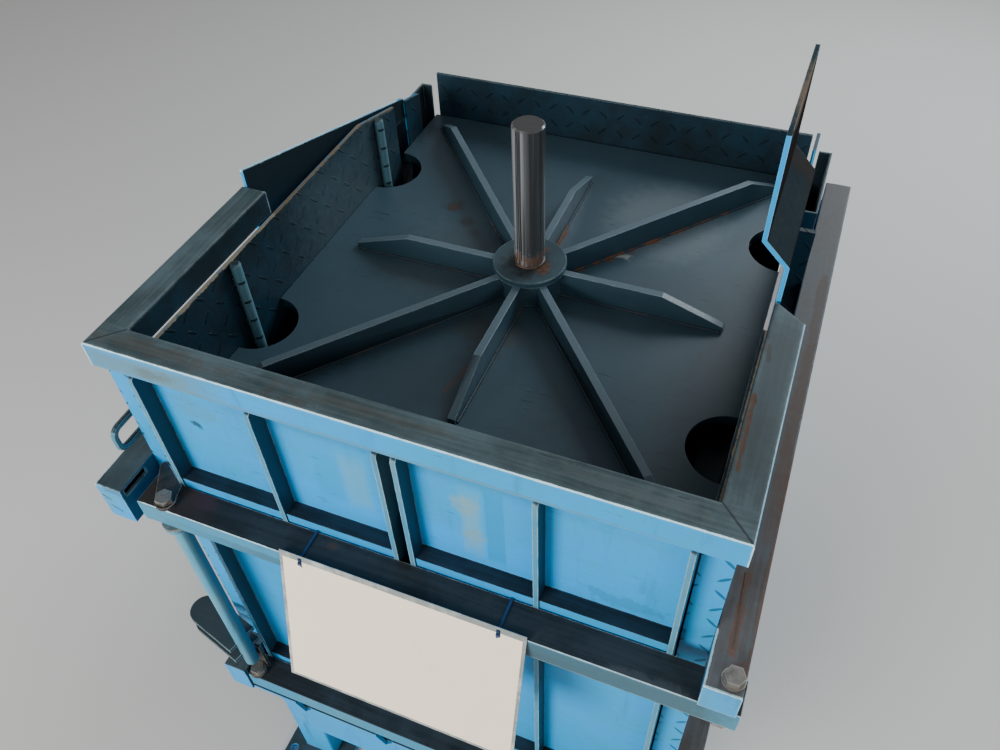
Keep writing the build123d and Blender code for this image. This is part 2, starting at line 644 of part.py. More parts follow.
def lock_ends():
    """Claws on the door beams, and the bolts that hold them down."""
    x, y = px(LOCK_X), py(LOCK_Y)
    for level, drop in LEVELS.items():
        top, foot = pz(DOOR_BEAM_TOP + drop), pz(DOOR_BEAM_TOP + drop + DOOR_BEAM_HIGH)
        reach, heel = (LOWER_REACH, None) if drop else (UPPER_REACH, CLAW_HEEL)
        head = top + CLAW + (WASHER_THICK if drop else 0)
        end = foot - (0 if drop else WASHER_THICK + SHAFT_GAP)
        plate = Pos(x, y, top) * Rot(0, 0, CLAW_ANGLE) * claw(reach, heel)
        bolt = hexagon(x, y, head, head + HEAD_HIGH, BOLT_HEAD) + post(x, y, end, head, BOLT)
        if drop:
            back = y + SHAFT / 2
            plate += block(x - LEG_LEFT, x + LEG_RIGHT, back, back + LEG_THICK, top, pz(LEG_TOP))
            plate -= post(x, y, top + CLAW, head + HEAD_HIGH + BEARING_GAP, WASHER + BEARING_GAP)
            bolt += disc(x, y, top + CLAW, head, WASHER)
        else:
            bolt += disc(x, y, foot - WASHER_THICK, foot, COLLAR)
        add(f"lock_claw_{level}", plate - post(x, y, top - 1, top + CLAW + 1, BOLT))
        add(f"lock_bolt_{level}", bolt)


def keep_largest(shape):
    """The biggest solid of a cut shape."""
    return shape.solids().sort_by(SortBy.VOLUME)[-1]


def notice():
    """Plain laminated sheet that leans on the upper door beam, held by two ties."""
    lean = radians(NOTICE_LEAN)
    edge = py(-DOOR_BEAM) - NOTICE_GAP
    top = pz(DOOR_BEAM_TOP)
    sheet = Box(NOTICE_WIDE, NOTICE_THICK, NOTICE_HIGH, align=(Align.MIN, Align.MAX, Align.MAX))
    sheet = Rot(-NOTICE_LEAN, 0, 0) * Pos(0, 0, NOTICE_OVER / cos(lean)) * sheet
    sheet = Pos(px(NOTICE_LEFT), edge, top) * sheet
    ties = []
    for x in (NOTICE_LEFT + TIE_LEFT_IN, NOTICE_LEFT + NOTICE_WIDE - TIE_RIGHT_IN):
        y0, y1 = py(-DOOR_BEAM) - NOTICE_GAP, py(0) + NOTICE_GAP
        z0, z1 = pz(DOOR_BEAM_TOP + DOOR_BEAM_HIGH) - NOTICE_GAP, top + NOTICE_GAP
        t, half = TIE_THICK, TIE / 2
        loop = block(px(x) - half, px(x) + half, y0 - t, y1 + t, z0 - t, z1 + t)
        ties.append(loop - block(px(x) - TIE, px(x) + TIE, y0, y1, z0, z1))
        sheet -= block(px(x) - half - 1, px(x) + half + 1, y0 - 3 * t, y0 + 3 * t, top - 2 * TIE, top + TIE)
    add("notice_sheet", sheet)
    add("notice_ties", Compound(children=ties))


def door():
    edge, half = WALL_IN + DOOR_SIDE, DOOR_RIB / 2
    add("door_sheet_left", door_sheet(edge, DOOR_RIBS_AT[2] + half, 0))
    add("door_sheet_right", door_sheet(DOOR_RIBS_AT[3] - half, WIDTH - edge, 3))
    door_ribs()
    add("door_beam_upper", door_beam(0, UPPER_BEAM_LEFT) + end_plate())
    add("door_beam_lower", door_beam(LEVEL_GAP, LOWER_BEAM_LEFT))
    notice()


def plate_rib(angle, break_at, tip):
    """Upright flat bar from the hub outwards, falling to a low tip."""
    points = [(0, 0), (0, RIB_HIGH), (break_at, RIB_HIGH), (tip, RIB_NOSE), (tip, 0)]
    face = make_face(Polyline(*[(r, -PLATE_RIB / 2, z) for r, z in points], close=True))
    rib = extrude(face, PLATE_RIB, dir=(0, 1, 0))
    rib = Pos(px(WIDTH / 2), py(PLATE_MIDDLE), pz(PLATE_TOP)) * Rot(0, 0, angle) * rib
    return keep_largest(rib - hub_boss())


def hub_boss():
    boss = RegularPolygon(HUB_BOSS / 2, 8, major_radius=False)
    return Pos(px(WIDTH / 2), py(PLATE_MIDDLE), pz(PLATE_TOP)) * extrude(boss, RIB_HIGH)


def press_plate():
    """Plate with four round notches, eight ribs, a hub and the rod."""
    half = WIDTH / 2 - WALL_IN - PLATE_GAP
    x, y = px(WIDTH / 2), py(PLATE_MIDDLE)
    low, high = pz(PLATE_TOP + PLATE), pz(PLATE_TOP)
    plate = block(-half, half, py(PLATE_FRONT), py(BACK_FACE - PLATE_BACK), low, high)
    for side in (-1, 1):
        for end in (-1, 1):
            plate -= post(side * half, y + end * NOTCH_AT, low - 1, high + 1, 2 * NOTCH)
    add("press_plate", plate)
    turns = [0, DIAGONAL, 90, 180 - DIAGONAL, 180, 180 + DIAGONAL, 270, 360 - DIAGONAL]
    half_deep = BACK_FACE - PLATE_BACK - PLATE_MIDDLE
    tips = {0: half - SQUARE_SHORT, 90: half_deep - SQUARE_END_SHORT,
            DIAGONAL: half_deep / sin(radians(DIAGONAL)) - DIAGONAL_SHORT}
    for i, turn in enumerate(turns):
        tip, taper = (tips[DIAGONAL], DIAGONAL_TAPER) if turn % 90 else (tips[turn % 180], SQUARE_TAPER)
        add(f"press_plate_rib_{i + 1}", plate_rib(turn, tip - taper, tip))
    top = high + RIB_HIGH
    flange = disc(x, y, top, top + DISC_THICK, HUB_DISC)
    add("press_plate_hub", hub_boss() + chamfer(flange.edges().group_by(Axis.Z)[-1], 1))
    neck = post(x, y, top + DISC_THICK, top + DISC_THICK + NECK_HIGH, ROD_NECK)
    rod = post(x, y, top + DISC_THICK + NECK_HIGH, pz(-ROD_TOP), ROD)
    add("piston_rod", neck + chamfer(rod.edges().group_by(Axis.Z)[-1], 2))


container()
door()
lock_shaft()
lock_ends()
press_plate()

os.makedirs("parts", exist_ok=True)
for name, solid in parts.items():
    export_step(solid, f"parts/{name}.step")
print(len(parts), "parts")
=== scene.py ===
import math
import bpy
from bpy.props import FloatProperty, FloatVectorProperty, IntProperty, PointerProperty
from bpy.types import Operator, Panel, PropertyGroup
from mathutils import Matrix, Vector


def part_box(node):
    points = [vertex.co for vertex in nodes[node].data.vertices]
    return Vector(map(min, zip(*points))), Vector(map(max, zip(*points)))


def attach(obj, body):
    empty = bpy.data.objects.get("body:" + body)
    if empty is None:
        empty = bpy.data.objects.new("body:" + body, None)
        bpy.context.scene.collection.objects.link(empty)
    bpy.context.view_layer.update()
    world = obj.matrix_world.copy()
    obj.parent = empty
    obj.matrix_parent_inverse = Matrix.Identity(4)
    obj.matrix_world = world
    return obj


bl_info = {
    "name": "Press Container",
    "version": (1, 1),
    "blender": (4, 5, 0),
    "location": "3D View > Sidebar > Container",
    "description": "Dresses a steel press container with worn paint, welds and a studio",
    "category": "Object",
}

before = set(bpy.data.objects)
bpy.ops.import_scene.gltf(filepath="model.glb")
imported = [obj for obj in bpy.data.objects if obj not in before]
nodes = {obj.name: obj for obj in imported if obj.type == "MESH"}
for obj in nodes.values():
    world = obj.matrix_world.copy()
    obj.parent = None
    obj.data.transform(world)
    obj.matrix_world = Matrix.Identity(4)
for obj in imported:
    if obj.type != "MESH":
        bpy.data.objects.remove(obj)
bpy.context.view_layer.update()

MM = 0.001
DIAGONAL = 0.7071
CAMERA_TURN = tuple(math.radians(angle) for angle in (43.2956, 1.986, 21.8778))
CONTAINER, DOOR, PRESS = "container", "door", "press_plate"


# Sizes and colours that a user would change

class PaintColours(PropertyGroup):
    """Colours of the paint, its wear, its dirt and its painted shade"""
    paint: FloatVectorProperty(name="Paint", description="Blue of the container's paint", subtype="COLOR",
                               min=0, max=1, default=(0.0, 0.32, 0.78))
    faded: FloatVectorProperty(name="Faded paint", description="Paint where it is rubbed and greyed",
                               subtype="COLOR", min=0, max=1, default=(0.0, 0.335, 0.6))
    chalk: FloatVectorProperty(name="Worn edge", description="Light edge where the paint is rubbed thin",
                               subtype="COLOR", min=0, max=1, default=(0.42, 0.56, 0.6))
    tan: FloatVectorProperty(name="Tan edge", description="Edge rubbed down to the filler", subtype="COLOR",
                             min=0, max=1, default=(0.42, 0.33, 0.21))
    grime: FloatVectorProperty(name="Grime", description="Dark dirt that lies on upward faces",
                               subtype="COLOR", min=0, max=1, default=(0.02, 0.042, 0.052))
    dust: FloatVectorProperty(name="Dust", description="Lighter dust over the dirt", subtype="COLOR",
                              min=0, max=1, default=(0.042, 0.058, 0.066))
    # This dark film also serves as the painted shade inside the chamber, in recesses and on faces turned from
    # the light.
    soot_and_shade: FloatVectorProperty(name="Soot", description="Dark film inside the chamber and on side faces",
                              subtype="COLOR", min=0, max=1, default=(0.011, 0.022, 0.029))
    rust: FloatVectorProperty(name="Rust", description="Rust at welds and scratches", subtype="COLOR",
                              min=0, max=1, default=(0.21, 0.085, 0.038))
    plate: FloatVectorProperty(name="Plate paint", description="Darkened paint of the press plate",
                               subtype="COLOR", min=0, max=1, default=(0.036, 0.08, 0.114))


class WeldSizes(PropertyGroup):
    """Sizes of the weld beads"""
    bead: FloatProperty(name="Bead", description="Radius of a weld bead", default=2.4 * MM, min=0.0,
                        unit="LENGTH")
    step: FloatProperty(name="Ripple", description="Distance between a bead's ripples", default=2.4 * MM,
                        min=0.001, unit="LENGTH")
    thin: FloatProperty(name="Thin bead", description="Radius of the bead on the right beam",
                        default=1.7 * MM, min=0.0, unit="LENGTH")
    tack: FloatProperty(name="Tack", description="Length of a tack weld beside a guide bar", default=9 * MM,
                        min=0.001, unit="LENGTH")
    tack_bead: FloatProperty(name="Tack bead", description="Radius of a tack weld", default=1.8 * MM, min=0.0,
                             unit="LENGTH")
    pitch: FloatProperty(name="Tack pitch", description="Distance from one tack to the next",
                         default=34 * MM, min=0.001, unit="LENGTH")


class EdgeSizes(PropertyGroup):
    """Sizes of the rounded and rubbed edges"""
    sheet: FloatProperty(name="Sheet edge", description="Rounding of cut sheet edges", default=0.8 * MM,
                         min=0.0, unit="LENGTH")
    wear: FloatProperty(name="Wear width", description="Width of the rubbed band on a cut edge",
                        default=1.8 * MM, min=0.0, unit="LENGTH")
    tube_wear: FloatProperty(name="Tube wear", description="Width of the rubbed band on a tube's round edge",
                             default=4.5 * MM, min=0.0, unit="LENGTH")
    segments: IntProperty(name="Segments", description="Faces across a rounded edge", default=2, min=1)


class StageSettings(PropertyGroup):
    """Floor, lights and camera"""
    floor: FloatVectorProperty(name="Floor", description="Colour of the floor", subtype="COLOR",
                               min=0, max=1, default=(0.62, 0.61, 0.59))
    key: FloatProperty(name="Key light", description="Power of the large front light", default=178.0,
                       min=0.0, unit="POWER")
    sky: FloatProperty(name="Sky light", description="Strength of the light from all round", default=0.3,
                       min=0.0)
    camera_at: FloatVectorProperty(name="Camera", description="Where the camera stands", subtype="XYZ",
                                   unit="LENGTH", default=(0.3164, -0.8209, 1.5933))
    camera_turn: FloatVectorProperty(name="Camera turn", description="How the camera is turned",
                                     subtype="EULER", default=CAMERA_TURN)
    lens: FloatProperty(name="Lens", description="Focal length in millimetres", default=30.79, min=1.0,
                        unit="CAMERA")


# Shader groups that several materials share

PLANS = {}
GROUPS = {}
MATERIALS = {}
UP, LEFT, RIGHT, FRONT, BACK = (0, 0, 1), (-1, 0, 0), (1, 0, 0), (0, -1, 0), (0, 1, 0)


class Wiring:
    """Short ways to add and join shader nodes in one tree."""

    def __init__(self, tree):
        self.tree = tree

    def add(self, kind, **settings):
        node = self.tree.nodes.new("ShaderNode" + kind)
        for key, value in settings.items():
            setattr(node, key, value)
        return node

    def feed(self, socket, value):
        if isinstance(value, bpy.types.NodeSocket):
            self.tree.links.new(value, socket)
        elif socket.type == "RGBA":
            socket.default_value = tuple(value)[:3] + (1,)
        else:
            socket.default_value = value

    def fill(self, node, **inputs):
        """Feeds a node's inputs by their names, written with _ for a space, and gives its first output."""
        for label, value in inputs.items():
            self.feed(node.inputs[label.replace("_", " ")], value)
        return node.outputs[0]

    def math(self, operation, a, b=0.0, clamp=False):
        node = self.add("Math", operation=operation, use_clamp=clamp)
        self.feed(node.inputs[0], a)
        self.feed(node.inputs[1], b)
        return node.outputs[0]

    def chain(self, operation, values):
        found = values[0]
        for value in values[1:]:
            found = self.math(operation, found, value)
        return found

    def product(self, *values):
        return self.chain("MULTIPLY", values)

    def total(self, *values):
        return self.chain("ADD", values)

    def less(self, a, b):
        return self.math("SUBTRACT", a, b)

    def vector(self, operation, a, b=(0, 0, 0)):
        node = self.add("VectorMath", operation=operation)
        self.feed(node.inputs[0], a)
        self.feed(node.inputs[1], b)
        return node.outputs["Value"] if operation in ("DOT_PRODUCT", "LENGTH") else node.outputs[0]

    def ramp(self, value, low, high, start=0.0, end=1.0):
        """Smooth step of a value from low to high."""
        node = self.add("MapRange", interpolation_type="SMOOTHSTEP")
        for socket, x in zip(node.inputs, (value, low, high, start, end)):
            self.feed(socket, x)
        return node.outputs[0]

    def mix(self, factor, a, b):
        """Colour a turned into colour b."""
        node = self.add("Mix", data_type="RGBA")
        self.feed(node.inputs[0], factor)
        self.feed(node.inputs[6], a)
        self.feed(node.inputs[7], b)
        return node.outputs[2]

    def lay(self, mask, strength, colour, tone):
        """Colour with a tone over it where a mask says."""
        return self.mix(self.product(mask, strength), colour, tone)

    def blend(self, factor, a, b):
        """Number a turned into number b."""
        node = self.add("Mix", data_type="FLOAT")
        self.feed(node.inputs[0], factor)
        self.feed(node.inputs[2], a)
        self.feed(node.inputs[3], b)
        return node.outputs[0]

    def split(self, vector):
        node = self.add("SeparateXYZ")
        self.feed(node.inputs[0], vector)
        return node.outputs

    def noise(self, place, scale, detail=4.0, roughness=0.6, distortion=0.0):
        return self.fill(self.add("TexNoise"), Vector=place, Scale=scale, Detail=detail, Roughness=roughness,
                         Distortion=distortion)

    def stretch(self, place, scale, turn=(0, 0, 0)):
        return self.fill(self.add("Mapping", vector_type="POINT"), Vector=place, Scale=scale, Rotation=turn)

    def group(self, key, **inputs):
        return self.fill(self.add("Group", node_tree=GROUPS[key]), **inputs)


def shader_group(key, name, output, vectors=("Vector",), **numbers):
    """Keeps a function that wires a shader group, with the group's vector and number inputs."""
    def keep(wire):
        PLANS[key] = name, output, vectors, numbers, wire
        return wire
    return keep


def build_groups():
    for key, (name, output, vectors, numbers, wire) in PLANS.items():
        tree = bpy.data.node_groups.new(name, "ShaderNodeTree")
        for label in vectors:
            tree.interface.new_socket(label, in_out="INPUT", socket_type="NodeSocketVector")
        for label, number in numbers.items():
            socket = tree.interface.new_socket(label, in_out="INPUT", socket_type="NodeSocketFloat")
            socket.default_value = number
        tree.interface.new_socket(output, in_out="OUTPUT", socket_type="NodeSocketFloat")
        start = tree.nodes.new("NodeGroupInput")
        end = tree.nodes.new("NodeGroupOutput")
        w = Wiring(tree)
        found = wire(w, *list(start.outputs)[:len(vectors) + len(numbers)])
        w.feed(end.inputs[output], found)
        GROUPS[key] = tree


@shader_group("edge", "Edge Wear", "Mask", Width=0.003, Amount=1.0)
def edge_wear(w, place, width, amount):
    """Mask of the edges of a piece, broken up by noise."""
    rounded = w.add("Bevel", samples=4)
    w.feed(rounded.inputs["Radius"], width)
    flat = w.add("NewGeometry").outputs["Normal"]
    bend = w.less(1.0, w.vector("DOT_PRODUCT", rounded.outputs[0], flat))
    patchy = w.noise(place, 55.0, 5.0, 0.7)
    lift = w.product(w.ramp(patchy, 0.34, 0.6, 0.25, 1.35), amount)
    return w.math("MULTIPLY", w.ramp(bend, 0.02, 0.2), lift, clamp=True)


@shader_group("facing", "Facing", "Mask", ("Direction",), From=0.45, Full=0.85)
def facing(w, direction, low, high):
    """Mask of faces that look one way."""
    normal = w.add("TexCoord").outputs["Normal"]
    return w.ramp(w.vector("DOT_PRODUCT", normal, direction), low, high)


@shader_group("brushed", "Brushed", "Value", Run=0.0)
def brushed(w, place, run):
    """Fine streaks along X, or along Y where Run is 1, with soft patches between them."""
    along_x = w.noise(w.stretch(place, (6.0, 190.0, 190.0)), 1.0, 5.0, 0.7)
    along_y = w.noise(w.stretch(place, (190.0, 6.0, 190.0)), 1.0, 5.0, 0.7)
    streaks = w.ramp(w.blend(run, along_x, along_y), 0.34, 0.66)
    patches = w.ramp(w.noise(place, 13.0, 6.0, 0.62), 0.38, 0.66)
    return w.blend(0.55, streaks, patches)


@shader_group("side", "Side Grime", "Mask")
def side_grime(w, place):
    """Mask of faint stains that run down upright faces."""
    runs = w.noise(w.stretch(place, (38.0, 38.0, 5.0)), 1.0, 7.0, 0.66, 0.3)
    specks = w.noise(place, 75.0, 6.0, 0.7)
    return w.math("MAXIMUM", w.ramp(runs, 0.54, 0.8), w.ramp(specks, 0.66, 0.8, 0.0, 0.7))


@shader_group("clouds", "Clouds", "Value")
def clouds(w, place):
    """Large soft patches with smaller ones in them."""
    large = w.ramp(w.noise(place, 6.5, 4.0, 0.6, 0.5), 0.38, 0.62)
    small = w.ramp(w.noise(place, 34.0, 7.0, 0.72), 0.36, 0.66)
    return w.blend(0.45, large, small)


@shader_group("scratch", "Scratches", "Mask")
def scratches(w, place):
    """Mask of short thin scratches in three directions."""
    found = 0.0
    for turn in (0.35, -0.75, 1.25):
        lines = w.noise(w.stretch(place, (28.0, 460.0, 240.0), (0, 0, turn)), 1.0, 1.5, 0.5, 0.15)
        found = w.math("MAXIMUM", found, w.ramp(lines, 0.715, 0.765))
    return w.product(found, w.ramp(w.noise(place, 10.0, 3.0), 0.46, 0.6))


@shader_group("spot", "Spot", "Mask", ("Vector", "Centre", "Half Size"), Ragged=0.5)
def spot_mask(w, place, centre, half, ragged):
    """Soft mask with a ragged border round one place."""
    away = w.vector("SUBTRACT", place, centre)
    far = w.vector("LENGTH", w.vector("DIVIDE", away, half))
    rough = w.less(w.noise(place, 60.0, 6.0, 0.75), 0.5)
    return w.ramp(w.total(far, w.product(rough, ragged, 4.0)), 1.0, 0.45)


@shader_group("strip", "Strip", "Mask", ("Vector", "Centre", "Half Size"), Soft=0.15)
def strip_mask(w, place, centre, half, soft):
    """Mask of a box round one place, with borders as soft and ragged as Soft says."""
    away = w.vector("ABSOLUTE", w.vector("SUBTRACT", place, centre))
    x, y, z = w.split(w.vector("DIVIDE", away, half))
    far = w.math("MAXIMUM", x, w.math("MAXIMUM", y, z))
    rough = w.less(w.noise(place, 90.0, 5.0, 0.7), 0.5)
    return w.ramp(w.total(far, w.product(rough, soft, 0.9)), 1.0, w.less(1.0, soft))


@shader_group("line", "Line", "Mask", ("Vector", "Start", "End"), Width=0.004, Ragged=3.0)
def line_mask(w, place, start, end, width, ragged):
    """Mask of a ragged line between two places."""
    along = w.vector("SUBTRACT", end, start)
    away = w.vector("SUBTRACT", place, start)
    square = w.vector("DOT_PRODUCT", along, along)
    part = w.math("DIVIDE", w.vector("DOT_PRODUCT", away, along), square, clamp=True)
    nearest = w.vector("MULTIPLY", along, w.fill(w.add("CombineXYZ"), X=part, Y=part, Z=part))
    far = w.math("DIVIDE", w.vector("LENGTH", w.vector("SUBTRACT", away, nearest)), width)
    rough = w.less(w.noise(place, 70.0, 6.0, 0.75), 0.5)
    return w.ramp(w.total(far, w.product(rough, ragged)), 1.0, 0.4)


@shader_group("tread", "Tread Plate", "Height", (), U=0.0, V=0.0, Pitch=0.028)
def tread_plate(w, u, v, pitch):
    """Height of a tread plate's short raised bars, which point two ways in turn."""
    u, v = w.math("DIVIDE", u, pitch), w.math("DIVIDE", v, pitch)
    a = w.less(w.math("FRACT", u), 0.5)
    b = w.less(w.math("FRACT", v), 0.5)
    cells = w.total(w.math("FLOOR", u), w.math("FLOOR", v))
    odd = w.math("GREATER_THAN", w.math("FRACT", w.product(cells, 0.5)), 0.25)
    way = w.less(w.product(odd, 2.0), 1.0)
    along = w.product(w.total(a, w.product(b, way)), DIAGONAL)
    across = w.product(w.less(a, w.product(b, way)), DIAGONAL)
    long_part = w.math("POWER", w.math("DIVIDE", w.math("ABSOLUTE", along), 0.36), 2.0)
    thin_part = w.math("POWER", w.math("DIVIDE", w.math("ABSOLUTE", across), 0.075), 2.0)
    return w.ramp(w.total(long_part, thin_part), 1.0, 0.35)


# Places on the container and marks at those places

# Light tone of rubbed edges: part worn paint, part painted highlight.
RUBBED_EDGE_HIGHLIGHT = (0.6, 0.88, 0.98)
SMEARED = (0.075, 0.2, 0.26)


def colours():
    return bpy.context.scene.container_paint


def at(x, y, z):
    """Point from millimetres: from the rim's left, behind its front and under its top."""
    low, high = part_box("rim_frame")
    return Vector((low.x + x * MM, low.y + y * MM, high.z - z * MM))


def spot(centre, half, ragged=0.5):
    return ("spot", {"Centre": at(*centre), "Half_Size": [size * MM for size in half], "Ragged": ragged})


def strip(centre, half, soft=0.35):
    return ("strip", {"Centre": at(*centre), "Half_Size": [size * MM for size in half], "Soft": soft})


def line(start, end, width=4.0, ragged=3.0):
    return ("line", {"Start": at(*start), "End": at(*end), "Width": width * MM, "Ragged": ragged})


def rubbed(start, end, strength=0.8, width=1.05, tone=RUBBED_EDGE_HIGHLIGHT):
    """A light line where an edge is rubbed and catches the light, part worn paint and part painted highlight,
    which lies over everything else.
    """
    return line(start, end, width, 1.8), tone, strength


def room(x0, x1, y0, y1):
    """An upright room without ragged borders, inside which shade is painted."""
    return strip(((x0 + x1) / 2, (y0 + y1) / 2, 350), ((x1 - x0) / 2, (y1 - y0) / 2, 800), 0.001)


def mark_mask(w, place, mark):
    kind, inputs = mark
    return w.group(kind, Vector=place, **inputs)


def lay_marks(w, place, colour, marks):
    """Lays the tone of each mark over a colour."""
    for mark, tone, strength in marks:
        colour = w.lay(mark_mask(w, place, mark), strength, colour, tone)
    return colour


def add_rust(w, place, rust, marks):
    """Adds rust at each mark to a mask of rust."""
    for mark, strength in marks:
        rust = w.math("MAXIMUM", rust, w.product(mark_mask(w, place, mark), strength))
    return rust


# Materials

FADING = 0.65
TREAD_SHADE, TREAD_TONE = 0.62, (0.006, 0.014, 0.02)
TREAD_BUMP, PAINT_BUMP = (0.8, 1.6 * MM), (0.35, 0.6 * MM)


def new_material(name):
    material = bpy.data.materials.new(name)
    material.use_nodes = True
    tree = material.node_tree
    tree.nodes.clear()
    w = Wiring(tree)
    output = w.add("OutputMaterial")
    shader = w.add("BsdfPrincipled")
    tree.links.new(shader.outputs[0], output.inputs[0])
    place = w.add("TexCoord").outputs["Object"]
    return material, w, shader, place


def bumps(w, height, strength, distance):
    return w.fill(w.add("Bump"), Strength=strength, Distance=distance, Height=height)


def run_of(w, place, run):
    """Direction of the streaks: 0 along X, 1 along Y, and on the rim along each of its bars."""
    if run != "rim":
        return run
    bar = at(0, 35, 0).y
    return w.ramp(w.split(place)[1], bar - 0.5 * MM, bar + 0.5 * MM)


def tread_height(w, place, tread):
    """Height of the tread pattern on a side wall or on the back wall."""
    x, y, z = w.split(place)
    return w.group("tread", U=w.total(x, y) if tread == "side" else x, V=z)


def worn_paint(name, paint=None, faded=None, dirt=1.0, edge=0.6, width=None, nicks=0.25, grime=0.3,
               run=0.0, painted_shades=(), shaded_rooms=(), stains_and_painted_light=(), rusts=(), over=(), top=None, dust=None, tread=None,
               rough=0.45, gloss=0.18, smear=0.22):
    """Painted steel with patches, runs, dirt on top, rubbed edges, marks where they are told, and painted
    shade on faces that look given ways and inside given upright boxes.
    """
    tones, sizes = colours(), bpy.context.scene.container_edges
    material, w, shader, place = new_material(name)
    patches = w.group("clouds", Vector=place)
    colour = w.lay(patches, FADING, paint or tones.paint, faded or tones.faded)
    streaks = w.group("brushed", Vector=place, Run=run_of(w, place, run))
    colour = w.lay(streaks, smear, colour, SMEARED)
    colour = w.lay(w.group("side", Vector=place), grime, colour, tones.grime)
    # Stain marks, and for some pieces painted light and painted shade.
    colour = lay_marks(w, place, colour, stains_and_painted_light)
    # Painted shade on faces that look given ways.
    for direction, strength, tone in painted_shades:
        colour = w.lay(w.group("facing", Direction=direction), strength, colour, tone)
    # Painted shade inside each given upright box.
    for mark in shaded_rooms:
        colour = w.lay(mark_mask(w, place, mark), w.ramp(patches, 0.0, 1.0, 1.0, 0.95), colour, tones.soot_and_shade)
    if tread:
        raised = tread_height(w, place, tread)
        colour = w.lay(raised, TREAD_SHADE, colour, TREAD_TONE)
    up = w.product(w.group("facing", Direction=UP), dirt)
    cover = w.mix(streaks, top or tones.grime, dust or tones.dust)
    colour = w.lay(up, w.ramp(streaks, 0.0, 1.0, 1.0, 0.96), colour, cover)
    colour = w.lay(w.group("scratch", Vector=place), nicks, colour, tones.soot_and_shade)
    worn = w.group("edge", Vector=place, Width=width or sizes.wear, Amount=edge)
    colour = w.mix(worn, colour, tones.chalk)
    rust = add_rust(w, place, 0.0, rusts)
    rust_tone = w.mix(w.noise(place, 160.0, 5.0, 0.7), tones.rust, (0.09, 0.035, 0.018))
    # Marks over everything: rubbed edges with painted highlights, on some pieces a painted sheen, and on the
    # right guard a painted reflection.
    colour = lay_marks(w, place, w.mix(rust, colour, rust_tone), over)
    speckle = w.noise(place, 210.0, 3.0)
    roughness = w.total(rough, w.product(w.less(speckle, 0.5), 0.12), w.product(streaks, up, 0.12))
    roughness = w.math("ADD", roughness, w.product(rust, 0.35), clamp=True)
    relief = w.total(w.product(speckle, 0.1), w.product(rust, 0.35), w.product(patches, 0.25))
    normal = bumps(w, w.total(relief, raised), *TREAD_BUMP) if tread else bumps(w, relief, *PAINT_BUMP)
    w.fill(shader, Base_Color=colour, Roughness=roughness, Normal=normal, Specular_IOR_Level=gloss)
    return material


def chrome_rod():
    """Polished rod with painted reflections as light and dark streaks along it, painted shade on its right
    half, and a greasy, rusty foot.
    """
    material, w, shader, place = new_material("Polished Rod")
    marks = w.noise(w.stretch(place, (330.0, 330.0, 2.5)), 1.0, 3.0, 0.5)
    colour = w.mix(w.ramp(marks, 0.4, 0.6), (0.78, 0.79, 0.8), (0.08, 0.085, 0.09))
    # Painted shade: the rod is darkened from its middle to the right.
    middle = at(350, 406, 0).x
    shade = w.ramp(w.split(place)[0], middle - 5 * MM, middle + 6 * MM, 0.0, 0.85)
    colour = w.mix(shade, colour, (0.1, 0.11, 0.12))
    colour = w.mix(w.group("facing", Direction=UP), colour, (0.12, 0.12, 0.12))
    rust = mark_mask(w, place, spot((350, 406, 92), (34, 34, 20)))
    colour = w.lay(rust, 0.85, colour, (0.13, 0.06, 0.03))
    roughness = w.total(w.ramp(marks, 0.35, 0.8, 0.2, 0.34), w.product(rust, 0.4))
    w.fill(shader, Base_Color=colour, Roughness=roughness, Metallic=w.product(w.less(1.0, rust), 0.72))
    return material


def bare_metal(name, tone, greasy, rusty, rough, metallic=0.85):
    """Bare or thinly painted steel with grease and rust."""
    material, w, shader, place = new_material(name)
    patches = w.noise(place, 70.0, 6.0, 0.7)
    colour = w.mix(w.ramp(patches, 0.35, 0.7), tone, tuple(0.55 * c for c in tone))
    grease = w.product(w.ramp(w.noise(place, 42.0, 4.0), 0.4, 0.62), greasy)
    colour = w.mix(grease, colour, (0.024, 0.022, 0.02))
    rust = w.product(w.ramp(w.noise(place, 95.0, 6.0, 0.75), 0.52, 0.68), rusty)
    colour = w.mix(rust, colour, colours().rust)
    worn = w.group("edge", Vector=place, Width=1.6 * MM, Amount=0.8)
    colour = w.mix(worn, colour, (0.62, 0.6, 0.56))
    bare = w.math("SUBTRACT", metallic, w.math("MAXIMUM", grease, rust), clamp=True)
    roughness = w.math("ADD", rough, w.product(rust, 0.4), clamp=True)
    normal = bumps(w, patches, 0.3, 0.4 * MM)
    w.fill(shader, Base_Color=colour, Metallic=bare, Roughness=roughness, Normal=normal)
    return material


def notice_sheet_material():
    """Warm white sheet, slightly soiled, inside the greyish border of its glossy film."""
    material, w, shader, place = new_material("Film Over Sheet")
    low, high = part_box("notice_sheet")
    border, head = 4 * MM, 8 * MM
    middle, half = (low + high) / 2, (high - low) / 2
    middle.z -= (head - border) / 2
    inner = (half.x - border, 1.0, half.z - (head + border) / 2)
    paper = w.group("strip", Vector=place, Centre=middle, Half_Size=inner, Soft=0.002)
    soil = w.ramp(w.noise(place, 16.0, 6.0, 0.66), 0.45, 0.8)
    colour = w.lay(soil, 0.2, (1.0, 0.88, 0.69), (0.68, 0.58, 0.44))
    film = w.mix(w.ramp(w.noise(place, 40.0, 4.0), 0.4, 0.7), (0.22, 0.25, 0.25), (0.5, 0.51, 0.48))
    normal = bumps(w, w.noise(place, 7.0, 2.0), 0.25, 1.5 * MM)
    w.fill(shader, Base_Color=w.mix(paper, film, colour), Roughness=w.ramp(soil, 0.0, 1.0, 0.22, 0.4),
           Normal=normal)
    return material


def tie_material():
    """Dark blue plastic of the ties."""
    material, w, shader, place = new_material("Tie Plastic")
    colour = w.mix(w.noise(place, 120.0), (0.008, 0.028, 0.09), (0.02, 0.055, 0.13))
    w.fill(shader, Base_Color=colour, Roughness=0.45)
    return material


